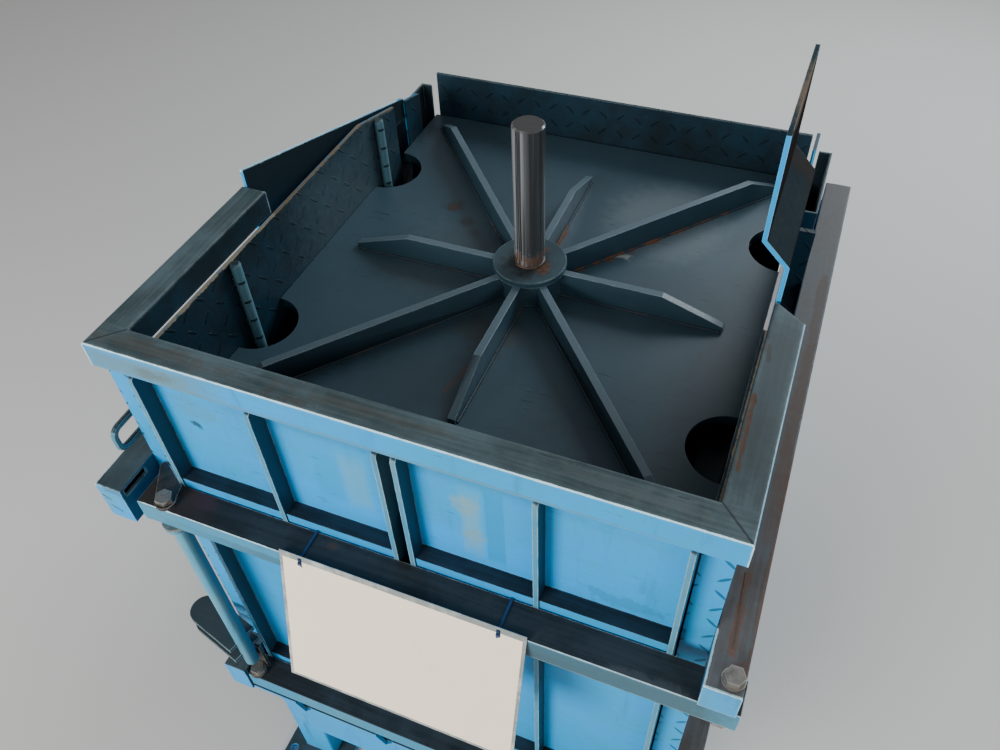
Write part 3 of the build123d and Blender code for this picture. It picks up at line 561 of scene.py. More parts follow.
def weld_material(name, dark, rusty, places=()):
    """Painted weld bead with rust showing through here and there, and more of it at given places."""
    material, w, shader, place = new_material(name)
    patches = w.ramp(w.noise(place, 30.0, 6.0, 0.7), 0.5, 0.66)
    rust = add_rust(w, place, w.product(patches, rusty), places)
    w.fill(shader, Base_Color=w.mix(rust, dark, colours().rust),
           Roughness=w.ramp(rust, 0.0, 1.0, 0.42, 0.72))
    return material


# Where rust, dirt, rubbed places, painted light and painted shade lie in the photograph

def plate_rusts():
    """Rust on the press plate: along some rib feet, and two old spots."""
    z = 149
    return (
        (line((398, 464, z), (477, 557, z), 12, 5.0), 0.9),
        (line((477, 557, z), (560, 655, z), 8, 5.0), 0.6),
        (spot((352, 520, z), (13, 34, 8)), 0.85),
        (line((345, 300, z), (322, 190, z), 5), 0.35),
        (line((425, 312, z), (470, 262, z), 4), 0.3),
        (line((300, 352, z), (190, 232, z), 4), 0.25),
        (spot((180, 536, z), (12, 10, 4), 0.7), 0.25),
    )


def plate_stains_and_sheen():
    """Dust, old rust, a painted sheen at the rear right, and lighter and darker patches on the press plate.
    """
    z = 149
    dusty, bright, dark = (0.12, 0.14, 0.14), (0.62, 0.64, 0.6), (0.014, 0.028, 0.038)
    old_rust, brown = (0.032, 0.024, 0.02), (0.05, 0.036, 0.026)
    light_grey, grey = (0.17, 0.215, 0.24), (0.1, 0.135, 0.15)
    return (
        (strip((500, 460, z), (110, 260, 9), 0.9), dusty, 0.12),
        (spot((446, 508, z), (22, 9, 4), 0.9), bright, 0.75),
        # Painted sheen at the rear right of the plate.
        (spot((490, 600, z), (110, 120, 4), 0.15), light_grey, 0.65),
        (spot((180, 536, z), (19, 17, 4), 0.4), old_rust, 0.85),
        (spot((211, 507, z), (16, 14, 4), 0.4), old_rust, 0.75),
        (spot((232, 488, z), (14, 9, 4), 0.7), old_rust, 0.5),
        (spot((625, 250, z), (60, 200, 4), 0.3), dark, 0.55),
        (spot((215, 420, z), (90, 110, 4), 0.4), grey, 0.4),
        (spot((340, 300, z), (60, 40, 4), 0.6), brown, 0.55),
        (spot((330, 180, z), (170, 90, 9), 0.5), dark, 0.3),
    )


def beam_marks():
    """Marks of the door beams: a greyer front towards the right, a brown left end, rust round the lock bolt,
    a painted sheen on the top at the right, and rubbed edges with painted highlights.
    """
    brown, grey, purple = (0.034, 0.026, 0.023), (0.045, 0.085, 0.1), (0.055, 0.03, 0.04)
    dusty, pale, green = (0.045, 0.05, 0.05), (0.085, 0.095, 0.1), (0.3, 0.4, 0.4)
    stains_and_painted_light = (
        (strip((590, -39, 250), (170, 4, 24), 0.45), grey, 0.8),
        (strip((330, -39, 258), (330, 4, 12), 0.6), grey, 0.55),
    )
    over = (
        (strip((45, -20, 231), (80, 32, 3), 0.6), brown, 0.8),
        (spot((86, -12, 231), (24, 16, 3)), purple, 0.7),
        (spot((470, -30, 231), (80, 14, 3), 0.8), dusty, 0.6),
        # Painted sheen on the top at the right.
        (spot((636, -38, 231), (60, 10, 3), 0.5), pale, 0.6),
        rubbed((8, -38.6, 231.4), (400, -38.6, 231.4), 0.8),
        rubbed((400, -38.6, 231.4), (735, -38.6, 231.4), 0.6),
        rubbed((400, -38.6, 266), (735, -38.6, 266), 0.35, 3.0, green),
    )
    rusts = (
        (spot((62, -8, 231), (16, 9, 6)), 0.45),
        (line((14, -38, 231), (14, 0, 231), 2.0), 0.35),
        (spot((262, -10, 231), (9, 6, 4)), 0.25),
    )
    return {"stains_and_painted_light": stains_and_painted_light, "rusts": rusts, "over": over}


def rim_marks():
    """Stains, rust, corner seams, painted light on the top towards the right, and rubbed edges with painted
    highlights of the rim tube.
    """
    brown, grey, seam = (0.085, 0.066, 0.05), (0.12, 0.21, 0.235), (0.02, 0.026, 0.03)
    green, dark = (0.1, 0.13, 0.12), (0.03, 0.038, 0.041)
    dark_brown, light_grey = (0.055, 0.045, 0.036), (0.09, 0.11, 0.11)
    stains_and_painted_light = (
        (strip((70, -1, 18), (120, 4, 22), 0.7), grey, 0.8),
        (spot((85, -1, 20), (34, 4, 12), 0.8), green, 0.6),
        (strip((350, -1, 33), (360, 4, 7), 0.7), grey, 0.55),
    )
    rusts = (
        (line((669, 167, 0), (671, 73, 0), 3.0, 3.0), 0.85),
        (line((669, 238, 0), (673, 217, 0), 3.2, 3.0), 0.35),
    )
    over = (
        (strip((682, 165, 0), (19, 150, 2), 0.5), dark, 0.6),
        (spot((80, 18, 0), (120, 12, 2), 0.9), brown, 0.38),
        (spot((330, 20, 0), (120, 8, 2), 0.9), brown, 0.32),
        (spot((250, 8, 0), (30, 8, 2), 0.9), dark_brown, 0.55),
        # Painted light: a lighter patch on the top towards the right.
        (spot((590, 20, 0), (90, 12, 2), 0.9), light_grey, 0.4),
        (line((664, 36, 0), (699, 1, 0), 1.6, 1.5), seam, 0.8),
        (line((36, 36, 0), (1, 1, 0), 1.6, 1.5), seam, 0.7),
        rubbed((0, 0.88, 0.88), (700, 0.88, 0.88), 0.95, 1.15),
        rubbed((699.12, 0, 0.88), (699.12, 300, 0.88), 0.7, 1.1),
        rubbed((0.7, 0, 0.9), (0.7, 300, 0.9), 0.55, 1.1),
        rubbed((0.4, 0.4, 3), (0.4, 0.4, 34), 0.7, 1.6),
        rubbed((699.6, 0.4, 3), (699.6, 0.4, 34), 0.6, 1.4),
    )
    return {"stains_and_painted_light": stains_and_painted_light, "rusts": rusts, "over": over}


def left_wall_marks():
    """A light patch inside, and the worn edge from the rim to the rear."""
    gold, brown, patch = (0.36, 0.3, 0.21), (0.2, 0.15, 0.095), (0.07, 0.112, 0.135)
    return (
        (strip((42, 470, 110), (6, 200, 130), 0.9), patch, 0.6),
        (line((38, 35, 35), (38, 305, 35), 2.8, 3.0), gold, 0.9),
        (line((38, 305, 35), (38, 530, 35), 3.2, 3.0), brown, 0.9),
        (line((38, 530, 36), (38, 640, 64), 3.2, 3.0), brown, 0.7),
    )


def right_wall_marks():
    """Painted shade outside, a tan worn edge under the rim, and bare bright steel behind it."""
    bare = (1, 0.97, 0.92)
    return (
        # Painted shade on the outer side of the wall.
        (strip((682, 560, 390), (16, 255, 380), 0.02), colours().soot_and_shade, 0.93),
        (line((664, 40, 35), (664, 300, 35), 1.3, 5.0), colours().tan, 0.8),
        (line((662.5, 300, 35), (662.5, 500, 35), 3.4, 1.0), bare, 1.0),
    )


def door_panel_marks():
    """Painted light on the lower part, painted shade just under the rim, rests of old stickers, and scuffs.
    """
    lit_lower_blue, rim_shadow_blue = (0.0, 0.35, 0.92), (0.02, 0.17, 0.33)
    edge, pale, residue = (0.0, 0.3, 0.62), (0.12, 0.36, 0.5), (0.2, 0.36, 0.38)
    return (
        # Painted light: the lower part of the panels is brighter.
        (strip((350, 22, 185), (330, 3, 45), 0.95), lit_lower_blue, 0.55),
        # Painted shade in a band just under the rim.
        (strip((350, 22, 60), (320, 3, 26), 0.9), rim_shadow_blue, 0.55),
        (strip((258, 22, 140), (20, 3, 50), 0.4), edge, 0.6),
        (strip((292, 22, 138), (22, 3, 62), 0.6), pale, 0.55),
        (strip((455, 22, 140), (12, 3, 72), 0.25), (0.0, 0.24, 0.5), 0.6),
        (strip((428, 22, 142), (15, 3, 74), 0.6), residue, 0.5),
        (spot((424, 22, 112), (17, 3, 18), 1.0), (0.19, 0.33, 0.34), 0.6),
        (spot((430, 22, 168), (16, 3, 18), 1.0), (0.17, 0.31, 0.33), 0.55),
        (spot((88, 22, 122), (8, 3, 7), 0.9), (0.02, 0.05, 0.06), 0.9),
        (spot((100, 22, 90), (40, 3, 24), 0.9), (0.07, 0.25, 0.36), 0.5),
        (spot((600, 22, 200), (60, 3, 16), 0.9), (0.02, 0.2, 0.38), 0.5),
    )


def left_beam_marks():
    """A grey front end, rubbed edges and two cuts on the front."""
    soot_and_shade, grey = colours().soot_and_shade, (0.05, 0.076, 0.084)
    return (
        (strip((-26, -24, 222), (18, 30, 9), 0.8), grey, 0.8),
        rubbed((-49.2, -42, 218.8), (-49.2, 500, 218.8), 0.9, 1.8),
        rubbed((-50, -41.2, 218.8), (-12, -41.2, 218.8), 0.6),
        (line((-46, -42, 240), (-36, -42, 246), 1.6), soot_and_shade, 0.9),
        (line((-42, -42, 258), (-28, -42, 266), 1.6), soot_and_shade, 0.9),
    )


def right_beam_rusts():
    """Rust along the weld, round the hinge bolt and down the outer edge."""
    return (
        (line((708, 92, 186), (711, 0, 186), 6), 0.5),
        (spot((720, -22, 186), (20, 20, 4)), 0.45),
        (line((729, 260, 187), (729, -30, 187), 3.0), 0.55),
        (line((722, 600, 186), (722, 140, 186), 9), 0.22),
    )


def bar_dashes(y):
    """Dark dashes down the front of a guide bar."""
    dark = (0.01, 0.018, 0.022)
    return tuple((strip((52, y - 4, 62 + 31 * i), (4.5, 5, 2.2), 0.3), dark, 0.9) for i in range(4))


# The finish of each piece, with the painted shade on it

def base_paints():
    """Paint of the skirt and the chamber floor."""
    # Painted shade on the chamber floor inside.
    inside = strip((350, 400, 760), (340, 437.5, 60), 0.001)
    return {
        "skirt": dict(grime=0.6),
        "chamber floor": dict(shaded_rooms=[inside]),
    }


def wall_paints():
    """Paint of the rim, walls, recess channels and guards."""
    tube_wear = bpy.context.scene.container_edges.tube_wear
    soot_and_shade = colours().soot_and_shade
    # Upright boxes where shade is painted: inside the chamber, round the rim's inner faces and in the recess
    # channels.
    chamber, inner_edges = room(37.5, 662.5, 34.3, 779), room(33, 667, 33, 778)
    hollows = [room(14.5, 36, 628.5, 783), room(664, 685.5, 628.5, 783)]
    # Brown tone of the painted shade on the right guard.
    slope, brown = (DIAGONAL, 0, DIAGONAL), (0.02, 0.016, 0.014)
    # A painted tan reflection near the top of the right guard, and a dark brown patch.
    guard_reflection_and_patch = (
        (spot((645, 400, -182), (14, 90, 24), 0.4), (0.26, 0.19, 0.14), 0.6),
        (spot((670, 480, -60), (60, 30, 60), 0.6), (0.05, 0.035, 0.028), 0.5),
    )
    return {
        # Rim: painted shade on its inner faces and on faces that look back.
        "rim": dict(
            edge=0.7, width=tube_wear, grime=0.45, run="rim", nicks=0.6, smear=0.25,
            shaded_rooms=[inner_edges], painted_shades=((BACK, 0.8, soot_and_shade),), top=(0.036, 0.058, 0.064),
            dust=(0.095, 0.128, 0.134), **rim_marks()),
        # Walls: painted shade on their faces inside the chamber.
        "left wall": dict(tread="side", shaded_rooms=[chamber], dirt=0.3, edge=0.5, over=left_wall_marks()),
        # Right wall: also painted shade on its outer side, and the same dark tone on its top.
        "right wall": dict(
            tread="side", shaded_rooms=[chamber], dirt=0.9, edge=0.5, top=soot_and_shade,
            painted_shades=((RIGHT, 0.92, soot_and_shade),), over=right_wall_marks()),
        "back wall": dict(tread="back", shaded_rooms=[chamber]),
        # Recess channels: painted shade in their hollows and on faces that look right and front.
        "recess": dict(shaded_rooms=hollows, painted_shades=((RIGHT, 0.9, soot_and_shade), (FRONT, 0.9, soot_and_shade))),
        # Left guard: painted shade on its face that looks right.
        "left guard": dict(
            painted_shades=((RIGHT, 1.0, soot_and_shade),), edge=0.9, dirt=0.3, grime=0.5,
            over=(rubbed((5, 302, -23.5), (30, 660, 66), 0.9, 3.0),)),
        # Right guard: painted shade on its left side, brown painted shade on its faces that look right.
        "right guard": dict(
            grime=0.3, edge=0.5, gloss=0.0, smear=0.0, over=guard_reflection_and_patch,
            painted_shades=((LEFT, 0.6, soot_and_shade), (RIGHT, 0.97, brown), (slope, 0.97, brown))),
    }


def door_paints():
    """Paint of the door's sheets, ribs and beams."""
    soot_and_shade = colours().soot_and_shade
    return {
        # Door panel: painted shade on its inner side.
        "door panel": dict(
            grime=0.22, edge=0.35, nicks=0.35, shaded_rooms=[room(30, 670, 26, 60)],
            top=(0.012, 0.018, 0.022), dust=(0.02, 0.03, 0.036), stains_and_painted_light=door_panel_marks()),
        # Door ribs: painted shade on their sides.
        "door rib": dict(
            edge=0.75, width=2.4 * MM, grime=0.6, paint=(0.03, 0.24, 0.42),
            faded=(0.14, 0.27, 0.3), painted_shades=((RIGHT, 0.88, soot_and_shade), (LEFT, 0.55, soot_and_shade))),
        "door beam": dict(
            edge=0.7, grime=0.6, paint=(0.02, 0.24, 0.44), faded=(0.1, 0.26, 0.32),
            top=(0.018, 0.02, 0.02), dust=(0.038, 0.041, 0.042), **beam_marks()),
    }


def beam_paints():
    """Paint of the beams round the container."""
    soot_and_shade, brown = colours().soot_and_shade, (0.06, 0.045, 0.035)
    front_edges = (
        rubbed((692, -41.2, 186.8), (730, -41.2, 186.8), 0.8, 1.8),
        rubbed((692.6, -42, 186.8), (692.6, 20, 186.8), 0.6, 2.0),
    )
    return {
        # Painted shade on the left beams' faces that look right, on the right beams' left faces, and brown on
        # their right faces.
        "left beam": dict(
            faded=(0.09, 0.3, 0.38), grime=0.5, edge=0.55, width=3.4 * MM, run=1.0,
            top=(0.04, 0.064, 0.072), dust=(0.085, 0.115, 0.122), painted_shades=((RIGHT, 0.8, soot_and_shade),),
            over=left_beam_marks()),
        "right beam": dict(
            faded=(0.09, 0.3, 0.38), grime=0.5, edge=0.7, width=3.4 * MM, run=1.0,
            top=(0.066, 0.054, 0.047), dust=(0.105, 0.105, 0.105),
            painted_shades=((LEFT, 0.5, soot_and_shade), (RIGHT, 0.6, brown)), rusts=right_beam_rusts(), over=front_edges),
    }


def lock_paints():
    """Paint of the lock's shaft and ears."""
    soot_and_shade = colours().soot_and_shade
    return {
        # Lock shaft: painted shade on its right side.
        "lock": dict(
            paint=(0.055, 0.3, 0.48), faded=(0.16, 0.34, 0.4), grime=0.6, edge=0.8,
            painted_shades=((RIGHT, 0.5, soot_and_shade),)),
        "ear": dict(
            paint=(0.045, 0.08, 0.095), faded=(0.028, 0.045, 0.05), edge=0.9, grime=0.6,
            top=(0.03, 0.05, 0.058)),
    }


def plate_paints():
    """Paint of the press plate with its ribs and hub."""
    plate, faded = colours().plate, (0.03, 0.06, 0.08)
    hub_rusts = ((spot((372, 396, 105), (12, 18, 12)), 0.85), (spot((352, 432, 105), (22, 8, 12)), 0.6))
    grease = (spot((350, 400, 105), (40, 42, 4)), (0.02, 0.017, 0.014), 0.7)
    return {
        "press plate": dict(
            paint=plate, faded=faded, dirt=0.35, edge=0.4, nicks=1.0, grime=0.3,
            rough=0.4, gloss=0.45, top=(0.05, 0.09, 0.115), smear=0.1, run=0.5, rusts=plate_rusts(),
            stains_and_painted_light=plate_stains_and_sheen()),
        "plate rib": dict(
            paint=plate, faded=faded, dirt=0.8, edge=0.6, nicks=0.3, grime=0.3, run=0.5,
            rough=0.38, gloss=0.45, smear=0.1, top=(0.105, 0.155, 0.19), dust=(0.085, 0.125, 0.15)),
        "hub": dict(
            paint=plate, faded=(0.02, 0.036, 0.046), dirt=0.7, edge=0.7, grime=0.5,
            top=(0.045, 0.07, 0.084), rusts=hub_rusts, over=(grease,)),
    }


def bar_paints():
    """Paint of the base frame, guide bars and loop handle."""
    soot_and_shade = colours().soot_and_shade
    return {
        "base": dict(grime=0.6),
        # Painted shade on the guide bars' right sides, and on the loop handle's right and back.
        "guide bar": dict(
            paint=(0.11, 0.27, 0.35), faded=(0.18, 0.32, 0.37), grime=0.5, edge=0.6,
            painted_shades=((RIGHT, 0.25, soot_and_shade),), over=bar_dashes(200) + bar_dashes(572)),
        "loop handle": dict(
            paint=(0.05, 0.22, 0.33), faded=(0.12, 0.26, 0.31), grime=0.5, edge=0.7,
            rough=0.3, painted_shades=((RIGHT, 0.5, soot_and_shade), (BACK, 0.5, soot_and_shade))),
    }


def make_materials():
    for paints in (base_paints, wall_paints, door_paints, beam_paints, lock_paints, plate_paints, bar_paints):
        for piece, look in paints().items():
            MATERIALS[piece] = worn_paint(piece.title() + " Paint", **look)
    MATERIALS.update({
        "rod": chrome_rod(),
        "bolt": bare_metal("Bolt Steel", (0.4, 0.38, 0.34), 0.35, 0.3, 0.3),
        "claw": bare_metal("Greasy Claw", (0.05, 0.046, 0.042), 0.8, 0.25, 0.42, metallic=0.5),
        "notice": notice_sheet_material(),
        "tie": tie_material(),
        "plate weld": weld_material("Plate Weld", (0.022, 0.045, 0.062), 0.3, plate_rusts()),
        "rusty weld": weld_material("Rusty Weld", (0.06, 0.042, 0.032), 0.75),
        "tack weld": weld_material("Tack Weld", (0.01, 0.024, 0.034), 0.15),
    })


# Helpers for the pieces

SHARP = math.radians(40)
BEAD_GAP, BEAD_LIFT, HUB_EDGE = 0.6 * MM, 0.3 * MM, 44 * MM


def paint_nodes(names, material, bevel=True):
    """Gives CAD nodes their finish and rounds their cut edges."""
    sizes = bpy.context.scene.container_edges
    for name in names:
        node = nodes[name]
        node.data.materials.clear()
        node.data.materials.append(MATERIALS[material])
        if bevel:
            weld = node.modifiers.new("Join Triangles", "WELD")
            weld.merge_threshold = 0.01 * MM
            edge = node.modifiers.new("Rounded Edges", "BEVEL")
            edge.width = sizes.sheet
            edge.segments = sizes.segments
            edge.limit_method = "ANGLE"
            edge.angle_limit = SHARP
            edge.harden_normals = True


def deselect():
    if bpy.context.object and bpy.context.object.mode != "OBJECT":
        bpy.ops.object.mode_set(mode="OBJECT")
    bpy.ops.object.select_all(action="DESELECT")


def finish_piece(piece, name, body, material):
    """Names a piece, bakes its place into its mesh and puts it on its body."""
    deselect()
    piece.select_set(True)
    bpy.context.view_layer.objects.active = piece
    bpy.ops.object.transform_apply(location=True, rotation=True, scale=True)
    piece.name = name
    piece.data.materials.clear()
    piece.data.materials.append(MATERIALS[material])
    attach(piece, body)
    return piece


def join(pieces):
    deselect()
    for piece in pieces:
        piece.select_set(True)
    bpy.context.view_layer.objects.active = pieces[0]
    bpy.ops.object.join()
    return pieces[0]


def bead(start, end, radius=None):
    """A weld bead of ripples along a straight line."""
    sizes = bpy.context.scene.container_welds
    start, end = Vector(start), Vector(end)
    run = end - start
    deselect()
    bpy.ops.mesh.primitive_uv_sphere_add(segments=8, ring_count=5, radius=radius or sizes.bead)
    ripple = bpy.context.object
    ripple.scale = (1.0, 1.0, 0.85)
    ripple.rotation_mode = "QUATERNION"
    ripple.rotation_quaternion = run.to_track_quat("Z", "Y")
    bpy.ops.object.transform_apply(location=False, rotation=True, scale=True)
    row = ripple.modifiers.new("Ripples", "ARRAY")
    row.use_relative_offset = False
    row.use_constant_offset = True
    row.count = max(2, int(run.length / sizes.step))
    row.constant_offset_displace = run / (row.count - 1)
    bpy.ops.object.modifier_apply(modifier=row.name)
    ripple.location = start
    bpy.ops.object.transform_apply(location=True, rotation=False, scale=False)
    bpy.ops.object.shade_smooth()
    return ripple


def ring_bead(centre, radius, count):
    """A round weld bead with ripples."""
    sizes = bpy.context.scene.container_welds
    deselect()
    bpy.ops.mesh.primitive_torus_add(location=centre, major_radius=radius, minor_radius=sizes.bead,
                                     major_segments=count, minor_segments=6)
    ring = bpy.context.object
    bpy.ops.object.mode_set(mode="EDIT")
    bpy.ops.mesh.select_all(action="SELECT")
    bpy.ops.transform.vertex_random(offset=0.5 * MM, seed=4)
    bpy.ops.object.mode_set(mode="OBJECT")
    bpy.ops.object.shade_smooth()
    return ring


def rib_run(name, middle, half):
    """Direction and reach of a plate rib from the middle of the hub."""
    low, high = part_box(name)
    corner = max(((x, y) for x in (low.x, high.x) for y in (low.y, high.y)),
                 key=lambda p: math.hypot(p[0] - middle.x, p[1] - middle.y))
    out = Vector((corner[0] - middle.x, corner[1] - middle.y, 0))
    if high.x - low.x <= 2.2 * half:
        out.x = 0
    if high.y - low.y <= 2.2 * half:
        out.y = 0
    reach = out.length - half
    return out.normalized(), reach


def rib_beads(name, foot, half):
    """The beads on both sides of a plate rib's foot."""
    out, reach = rib_run(name, foot, half)
    side = Vector((-out.y, out.x, 0)) * (half + BEAD_GAP)
    return [bead(foot + out * HUB_EDGE + side * way, foot + out * reach + side * way) for way in (-1, 1)]


def rounded_block(place, size, round_by):
    """A small block with rounded edges."""
    deselect()
    bpy.ops.mesh.primitive_cube_add(size=1, location=place)
    block = bpy.context.object
    block.scale = size
    bpy.ops.object.transform_apply(location=False, rotation=False, scale=True)
    bpy.ops.object.mode_set(mode="EDIT")
    bpy.ops.mesh.select_all(action="SELECT")
    bpy.ops.mesh.bevel(offset=round_by, segments=2)
    bpy.ops.object.mode_set(mode="OBJECT")
    return block


# Operators for the pieces

class CONTAINER_OT_paint_walls(Operator):
    """Paint the chamber walls, their recess channels and the guards"""
    bl_idname = "container.paint_walls"
    bl_label = "Paint Walls"

    def execute(self, context):
        for name in ("left_wall", "right_wall", "back_wall", "left_guard", "right_guard"):
            paint_nodes([name], name.replace("_", " "))
        paint_nodes(["left_recess_channel", "right_recess_channel"], "recess")
        return {"FINISHED"}


class CONTAINER_OT_paint_rim(Operator):
    """Paint the rim tube"""
    bl_idname = "container.paint_rim"
    bl_label = "Paint Rim"

    def execute(self, context):
        paint_nodes(["rim_frame"], "rim", bevel=False)
        return {"FINISHED"}


class CONTAINER_OT_paint_beams(Operator):
    """Paint the beams round the container"""
    bl_idname = "container.paint_beams"
    bl_label = "Paint Beams"

    def execute(self, context):
        paint_nodes(["left_beam_upper", "left_beam_lower", "back_beam_upper", "back_beam_lower"], "left beam",
                    bevel=False)
        paint_nodes(["right_beam_upper", "right_beam_lower"], "right beam", bevel=False)
        return {"FINISHED"}


class CONTAINER_OT_paint_base(Operator):
    """Paint the floor, skirt, base frame and legs"""
    bl_idname = "container.paint_base"
    bl_label = "Paint Base"

    def execute(self, context):
        paint_nodes(["chamber_floor"], "chamber floor")
        paint_nodes(["base_skirt"], "skirt")
        legs = [f"base_leg_{end}_{hand}" for end in ("front", "rear") for hand in ("left", "right")]
        paint_nodes(["base_frame"] + legs, "base", bevel=False)
        return {"FINISHED"}


class CONTAINER_OT_paint_door(Operator):
    """Paint the door's sheets, ribs and beams"""
    bl_idname = "container.paint_door"
    bl_label = "Paint Door"

    def execute(self, context):
        paint_nodes(["door_sheet_left", "door_sheet_right"], "door panel")
        paint_nodes([f"door_rib_{i}" for i in range(1, 7)], "door rib")
        paint_nodes(["door_beam_upper", "door_beam_lower"], "door beam", bevel=False)
        return {"FINISHED"}


class CONTAINER_OT_finish_metalwork(Operator):
    """Finish the lock, bolts, guide bars and loop handle"""
    bl_idname = "container.finish_metalwork"
    bl_label = "Finish Metalwork"

    def execute(self, context):
        paint_nodes(["lock_shaft", "lock_shaft_collar"], "lock")
        paint_nodes(["lock_ear_upper", "lock_ear_lower"], "ear")
        paint_nodes(["lock_claw_upper", "lock_claw_lower"], "claw")
        paint_nodes(["lock_bolt_upper", "lock_bolt_lower", "hinge_bolt_upper", "hinge_bolt_lower"], "bolt")
        paint_nodes(["guide_bar_front", "guide_bar_rear"], "guide bar", bevel=False)
        paint_nodes(["loop_handle"], "loop handle", bevel=False)
        return {"FINISHED"}


class CONTAINER_OT_finish_press_plate(Operator):
    """Finish the press plate with its ribs, hub and rod"""
    bl_idname = "container.finish_press_plate"
    bl_label = "Finish Press Plate"

    def execute(self, context):
        paint_nodes(["press_plate"], "press plate")
        paint_nodes([f"press_plate_rib_{i}" for i in range(1, 9)], "plate rib")
        paint_nodes(["press_plate_hub"], "hub", bevel=False)
        paint_nodes(["piston_rod"], "rod", bevel=False)
        return {"FINISHED"}


class CONTAINER_OT_weld_press_plate(Operator):
    """Add the weld beads at the feet of the press plate's ribs and round its rod"""
    bl_idname = "container.weld_press_plate"
    bl_label = "Weld Press Plate"

    def execute(self, context):
        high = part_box("press_plate")[1]
        hub_low, hub_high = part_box("press_plate_hub")
        middle = (hub_low + hub_high) / 2
        rib_low, rib_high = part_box("press_plate_rib_3")
        half = (rib_high.x - rib_low.x) / 2
        foot = Vector((middle.x, middle.y, high.z + BEAD_LIFT))
        beads = []
        for i in range(1, 9):
            beads += rib_beads(f"press_plate_rib_{i}", foot, half)
        finish_piece(join(beads), "plate_rib_welds", PRESS, "plate weld")
        rod_low, rod_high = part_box("piston_rod")
        radius = (rod_high.x - rod_low.x) / 2
        ring = ring_bead((middle.x, middle.y, hub_high.z + 0.5 * MM), radius - 1.5 * MM, 40)
        finish_piece(ring, "rod_foot_weld", PRESS, "rusty weld")
        return {"FINISHED"}


class CONTAINER_OT_weld_container(Operator):
    """Add the bead on the right beam and the tacks beside the guide bars"""
    bl_idname = "container.weld_container"
    bl_label = "Weld Container"

    def execute(self, context):
        sizes = context.scene.container_welds
        beam_bead = bead(at(707, 92, 187), at(711, 4, 187), sizes.thin)
        finish_piece(beam_bead, "right_beam_weld", CONTAINER, "rusty weld")
        tacks = []
        for name in ("guide_bar_front", "guide_bar_rear"):
            low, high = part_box(name)
            x, y, top = low.x + 3 * MM, low.y - 0.2 * MM, high.z - 20 * MM
            for i in range(6):
                start = top - i * sizes.pitch
                tacks.append(bead((x, y, start), (x, y, start - sizes.tack), sizes.tack_bead))
        finish_piece(join(tacks), "guide_bar_tacks", CONTAINER, "tack weld")
        return {"FINISHED"}


class CONTAINER_OT_finish_notice(Operator):
    """Finish the notice sheet, and the ties with their heads and tails"""
    bl_idname = "container.finish_notice"
    bl_label = "Finish Notice"

    def execute(self, context):
        paint_nodes(["notice_sheet"], "notice", bevel=False)
        paint_nodes(["notice_ties"], "tie", bevel=False)
        low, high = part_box("notice_ties")
        head_size, tail_size = (5 * MM, 3.4 * MM, 5 * MM), (2.4 * MM, 1.1 * MM, 12 * MM)
        pieces = []
        for x, lean in ((low.x + 1.5 * MM, 0.5), (high.x - 1.5 * MM, -0.3)):
            head = rounded_block((x, low.y - 0.8 * MM, high.z - 7 * MM), head_size, 0.7 * MM)
            tail_at = (x + lean * 6 * MM, low.y - 1.6 * MM, high.z - 13 * MM)
            tail = rounded_block(tail_at, tail_size, 0.3 * MM)
            tail.rotation_euler = (0, -lean, 0)
            pieces += [head, tail]
        finish_piece(join(pieces), "notice_tie_heads", DOOR, "tie")
        return {"FINISHED"}


# Floor, lights and camera

FLOOR_SIZE = 30

# Each light's name, place, target, size, share of the key light's power, and colour
LIGHTS = (
    ("key_light", (-1.5, -3.6, 1.7), (0, -0.3, 0.75), 1.8, 1.0, (1.0, 0.99, 0.97)),
    ("right_light", (2.6, -2.4, 2.4), (0.1, 0, 0.8), 1.4, 0.16, (1.0, 0.97, 0.93)),
    ("back_light", (1.25, 2.7, 2.6), (0.15, 0.15, 0.85), 1.7, 0.56, (0.86, 0.95, 1.0)),
)


def add_floor(tone):
    bpy.ops.mesh.primitive_plane_add(size=FLOOR_SIZE, location=(0, 0, 0))
    floor = bpy.context.object
    floor.name = "floor"
    material, w, shader = new_material("Pale Floor")[:3]
    w.fill(shader, Base_Color=tone, Roughness=0.85)
    floor.data.materials.append(material)
    return floor


def light_sky(scene, strength):
    world = bpy.data.worlds.new("Soft Sky")
    scene.world = world
    world.use_nodes = True
    background = world.node_tree.nodes["Background"]
    background.inputs[0].default_value = (0.97, 0.985, 1.0, 1)
    background.inputs[1].default_value = strength


def add_light(key, name, place, target, size, share, tone):
    turn = (Vector(target) - Vector(place)).to_track_quat("-Z", "Y").to_euler()
    bpy.ops.object.light_add(type="AREA", location=place, rotation=turn)
    light = bpy.context.object
    light.name = name
    light.data.size = size
    light.data.energy = key * share
    light.data.color = tone
    return light


def add_camera(scene, stage):
    bpy.ops.object.camera_add(location=stage.camera_at, rotation=stage.camera_turn)
    camera = bpy.context.object
    camera.name = "photo_camera"
    camera.data.lens = stage.lens
    camera.data.sensor_width = 36
    camera.data.clip_start = 0.01
    scene.camera = camera


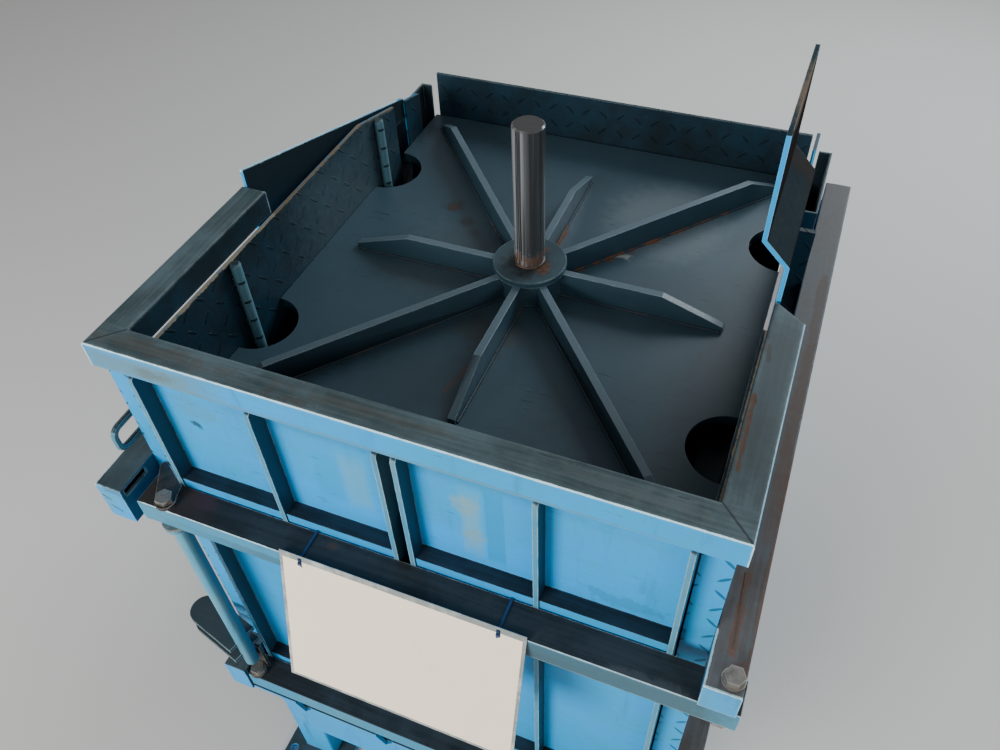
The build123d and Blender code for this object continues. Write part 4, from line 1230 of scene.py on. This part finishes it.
class CONTAINER_OT_build_stage(Operator):
    """Build the pale floor, the lights and the camera"""
    bl_idname = "container.build_stage"
    bl_label = "Build Stage"

    def execute(self, context):
        stage = context.scene.container_stage
        deselect()
        light_sky(context.scene, stage.sky)
        shown = [add_floor(stage.floor)]
        shown += [add_light(stage.key, *light) for light in LIGHTS]
        add_camera(context.scene, stage)
        return {"FINISHED"}


class CONTAINER_PT_panel(Panel):
    """Lists the operators that dress the container"""
    bl_label = "Press Container"
    bl_idname = "CONTAINER_PT_panel"
    bl_space_type = "VIEW_3D"
    bl_region_type = "UI"
    bl_category = "Container"

    def draw(self, context):
        for operator in OPERATORS:
            self.layout.operator(operator.bl_idname)


SETTINGS = {
    "container_paint": PaintColours, "container_welds": WeldSizes,
    "container_edges": EdgeSizes, "container_stage": StageSettings,
}
OPERATORS = [
    CONTAINER_OT_paint_walls, CONTAINER_OT_paint_rim, CONTAINER_OT_paint_beams, CONTAINER_OT_paint_base,
    CONTAINER_OT_paint_door, CONTAINER_OT_finish_metalwork, CONTAINER_OT_finish_press_plate,
    CONTAINER_OT_weld_press_plate, CONTAINER_OT_weld_container, CONTAINER_OT_finish_notice,
    CONTAINER_OT_build_stage,
]


def register():
    for name, settings in SETTINGS.items():
        bpy.utils.register_class(settings)
        setattr(bpy.types.Scene, name, PointerProperty(type=settings))
    for operator in OPERATORS:
        bpy.utils.register_class(operator)
    bpy.utils.register_class(CONTAINER_PT_panel)


def unregister():
    bpy.utils.unregister_class(CONTAINER_PT_panel)
    for operator in reversed(OPERATORS):
        bpy.utils.unregister_class(operator)
    for name, settings in reversed(SETTINGS.items()):
        delattr(bpy.types.Scene, name)
        bpy.utils.unregister_class(settings)


def main():
    register()
    build_groups()
    make_materials()
    bpy.ops.container.paint_walls()
    bpy.ops.container.paint_rim()
    bpy.ops.container.paint_beams()
    bpy.ops.container.paint_base()
    bpy.ops.container.paint_door()
    bpy.ops.container.finish_metalwork()
    bpy.ops.container.finish_press_plate()
    bpy.ops.container.weld_press_plate()
    bpy.ops.container.weld_container()
    bpy.ops.container.finish_notice()
    bpy.ops.container.build_stage()


if __name__ == "__main__":
    main()
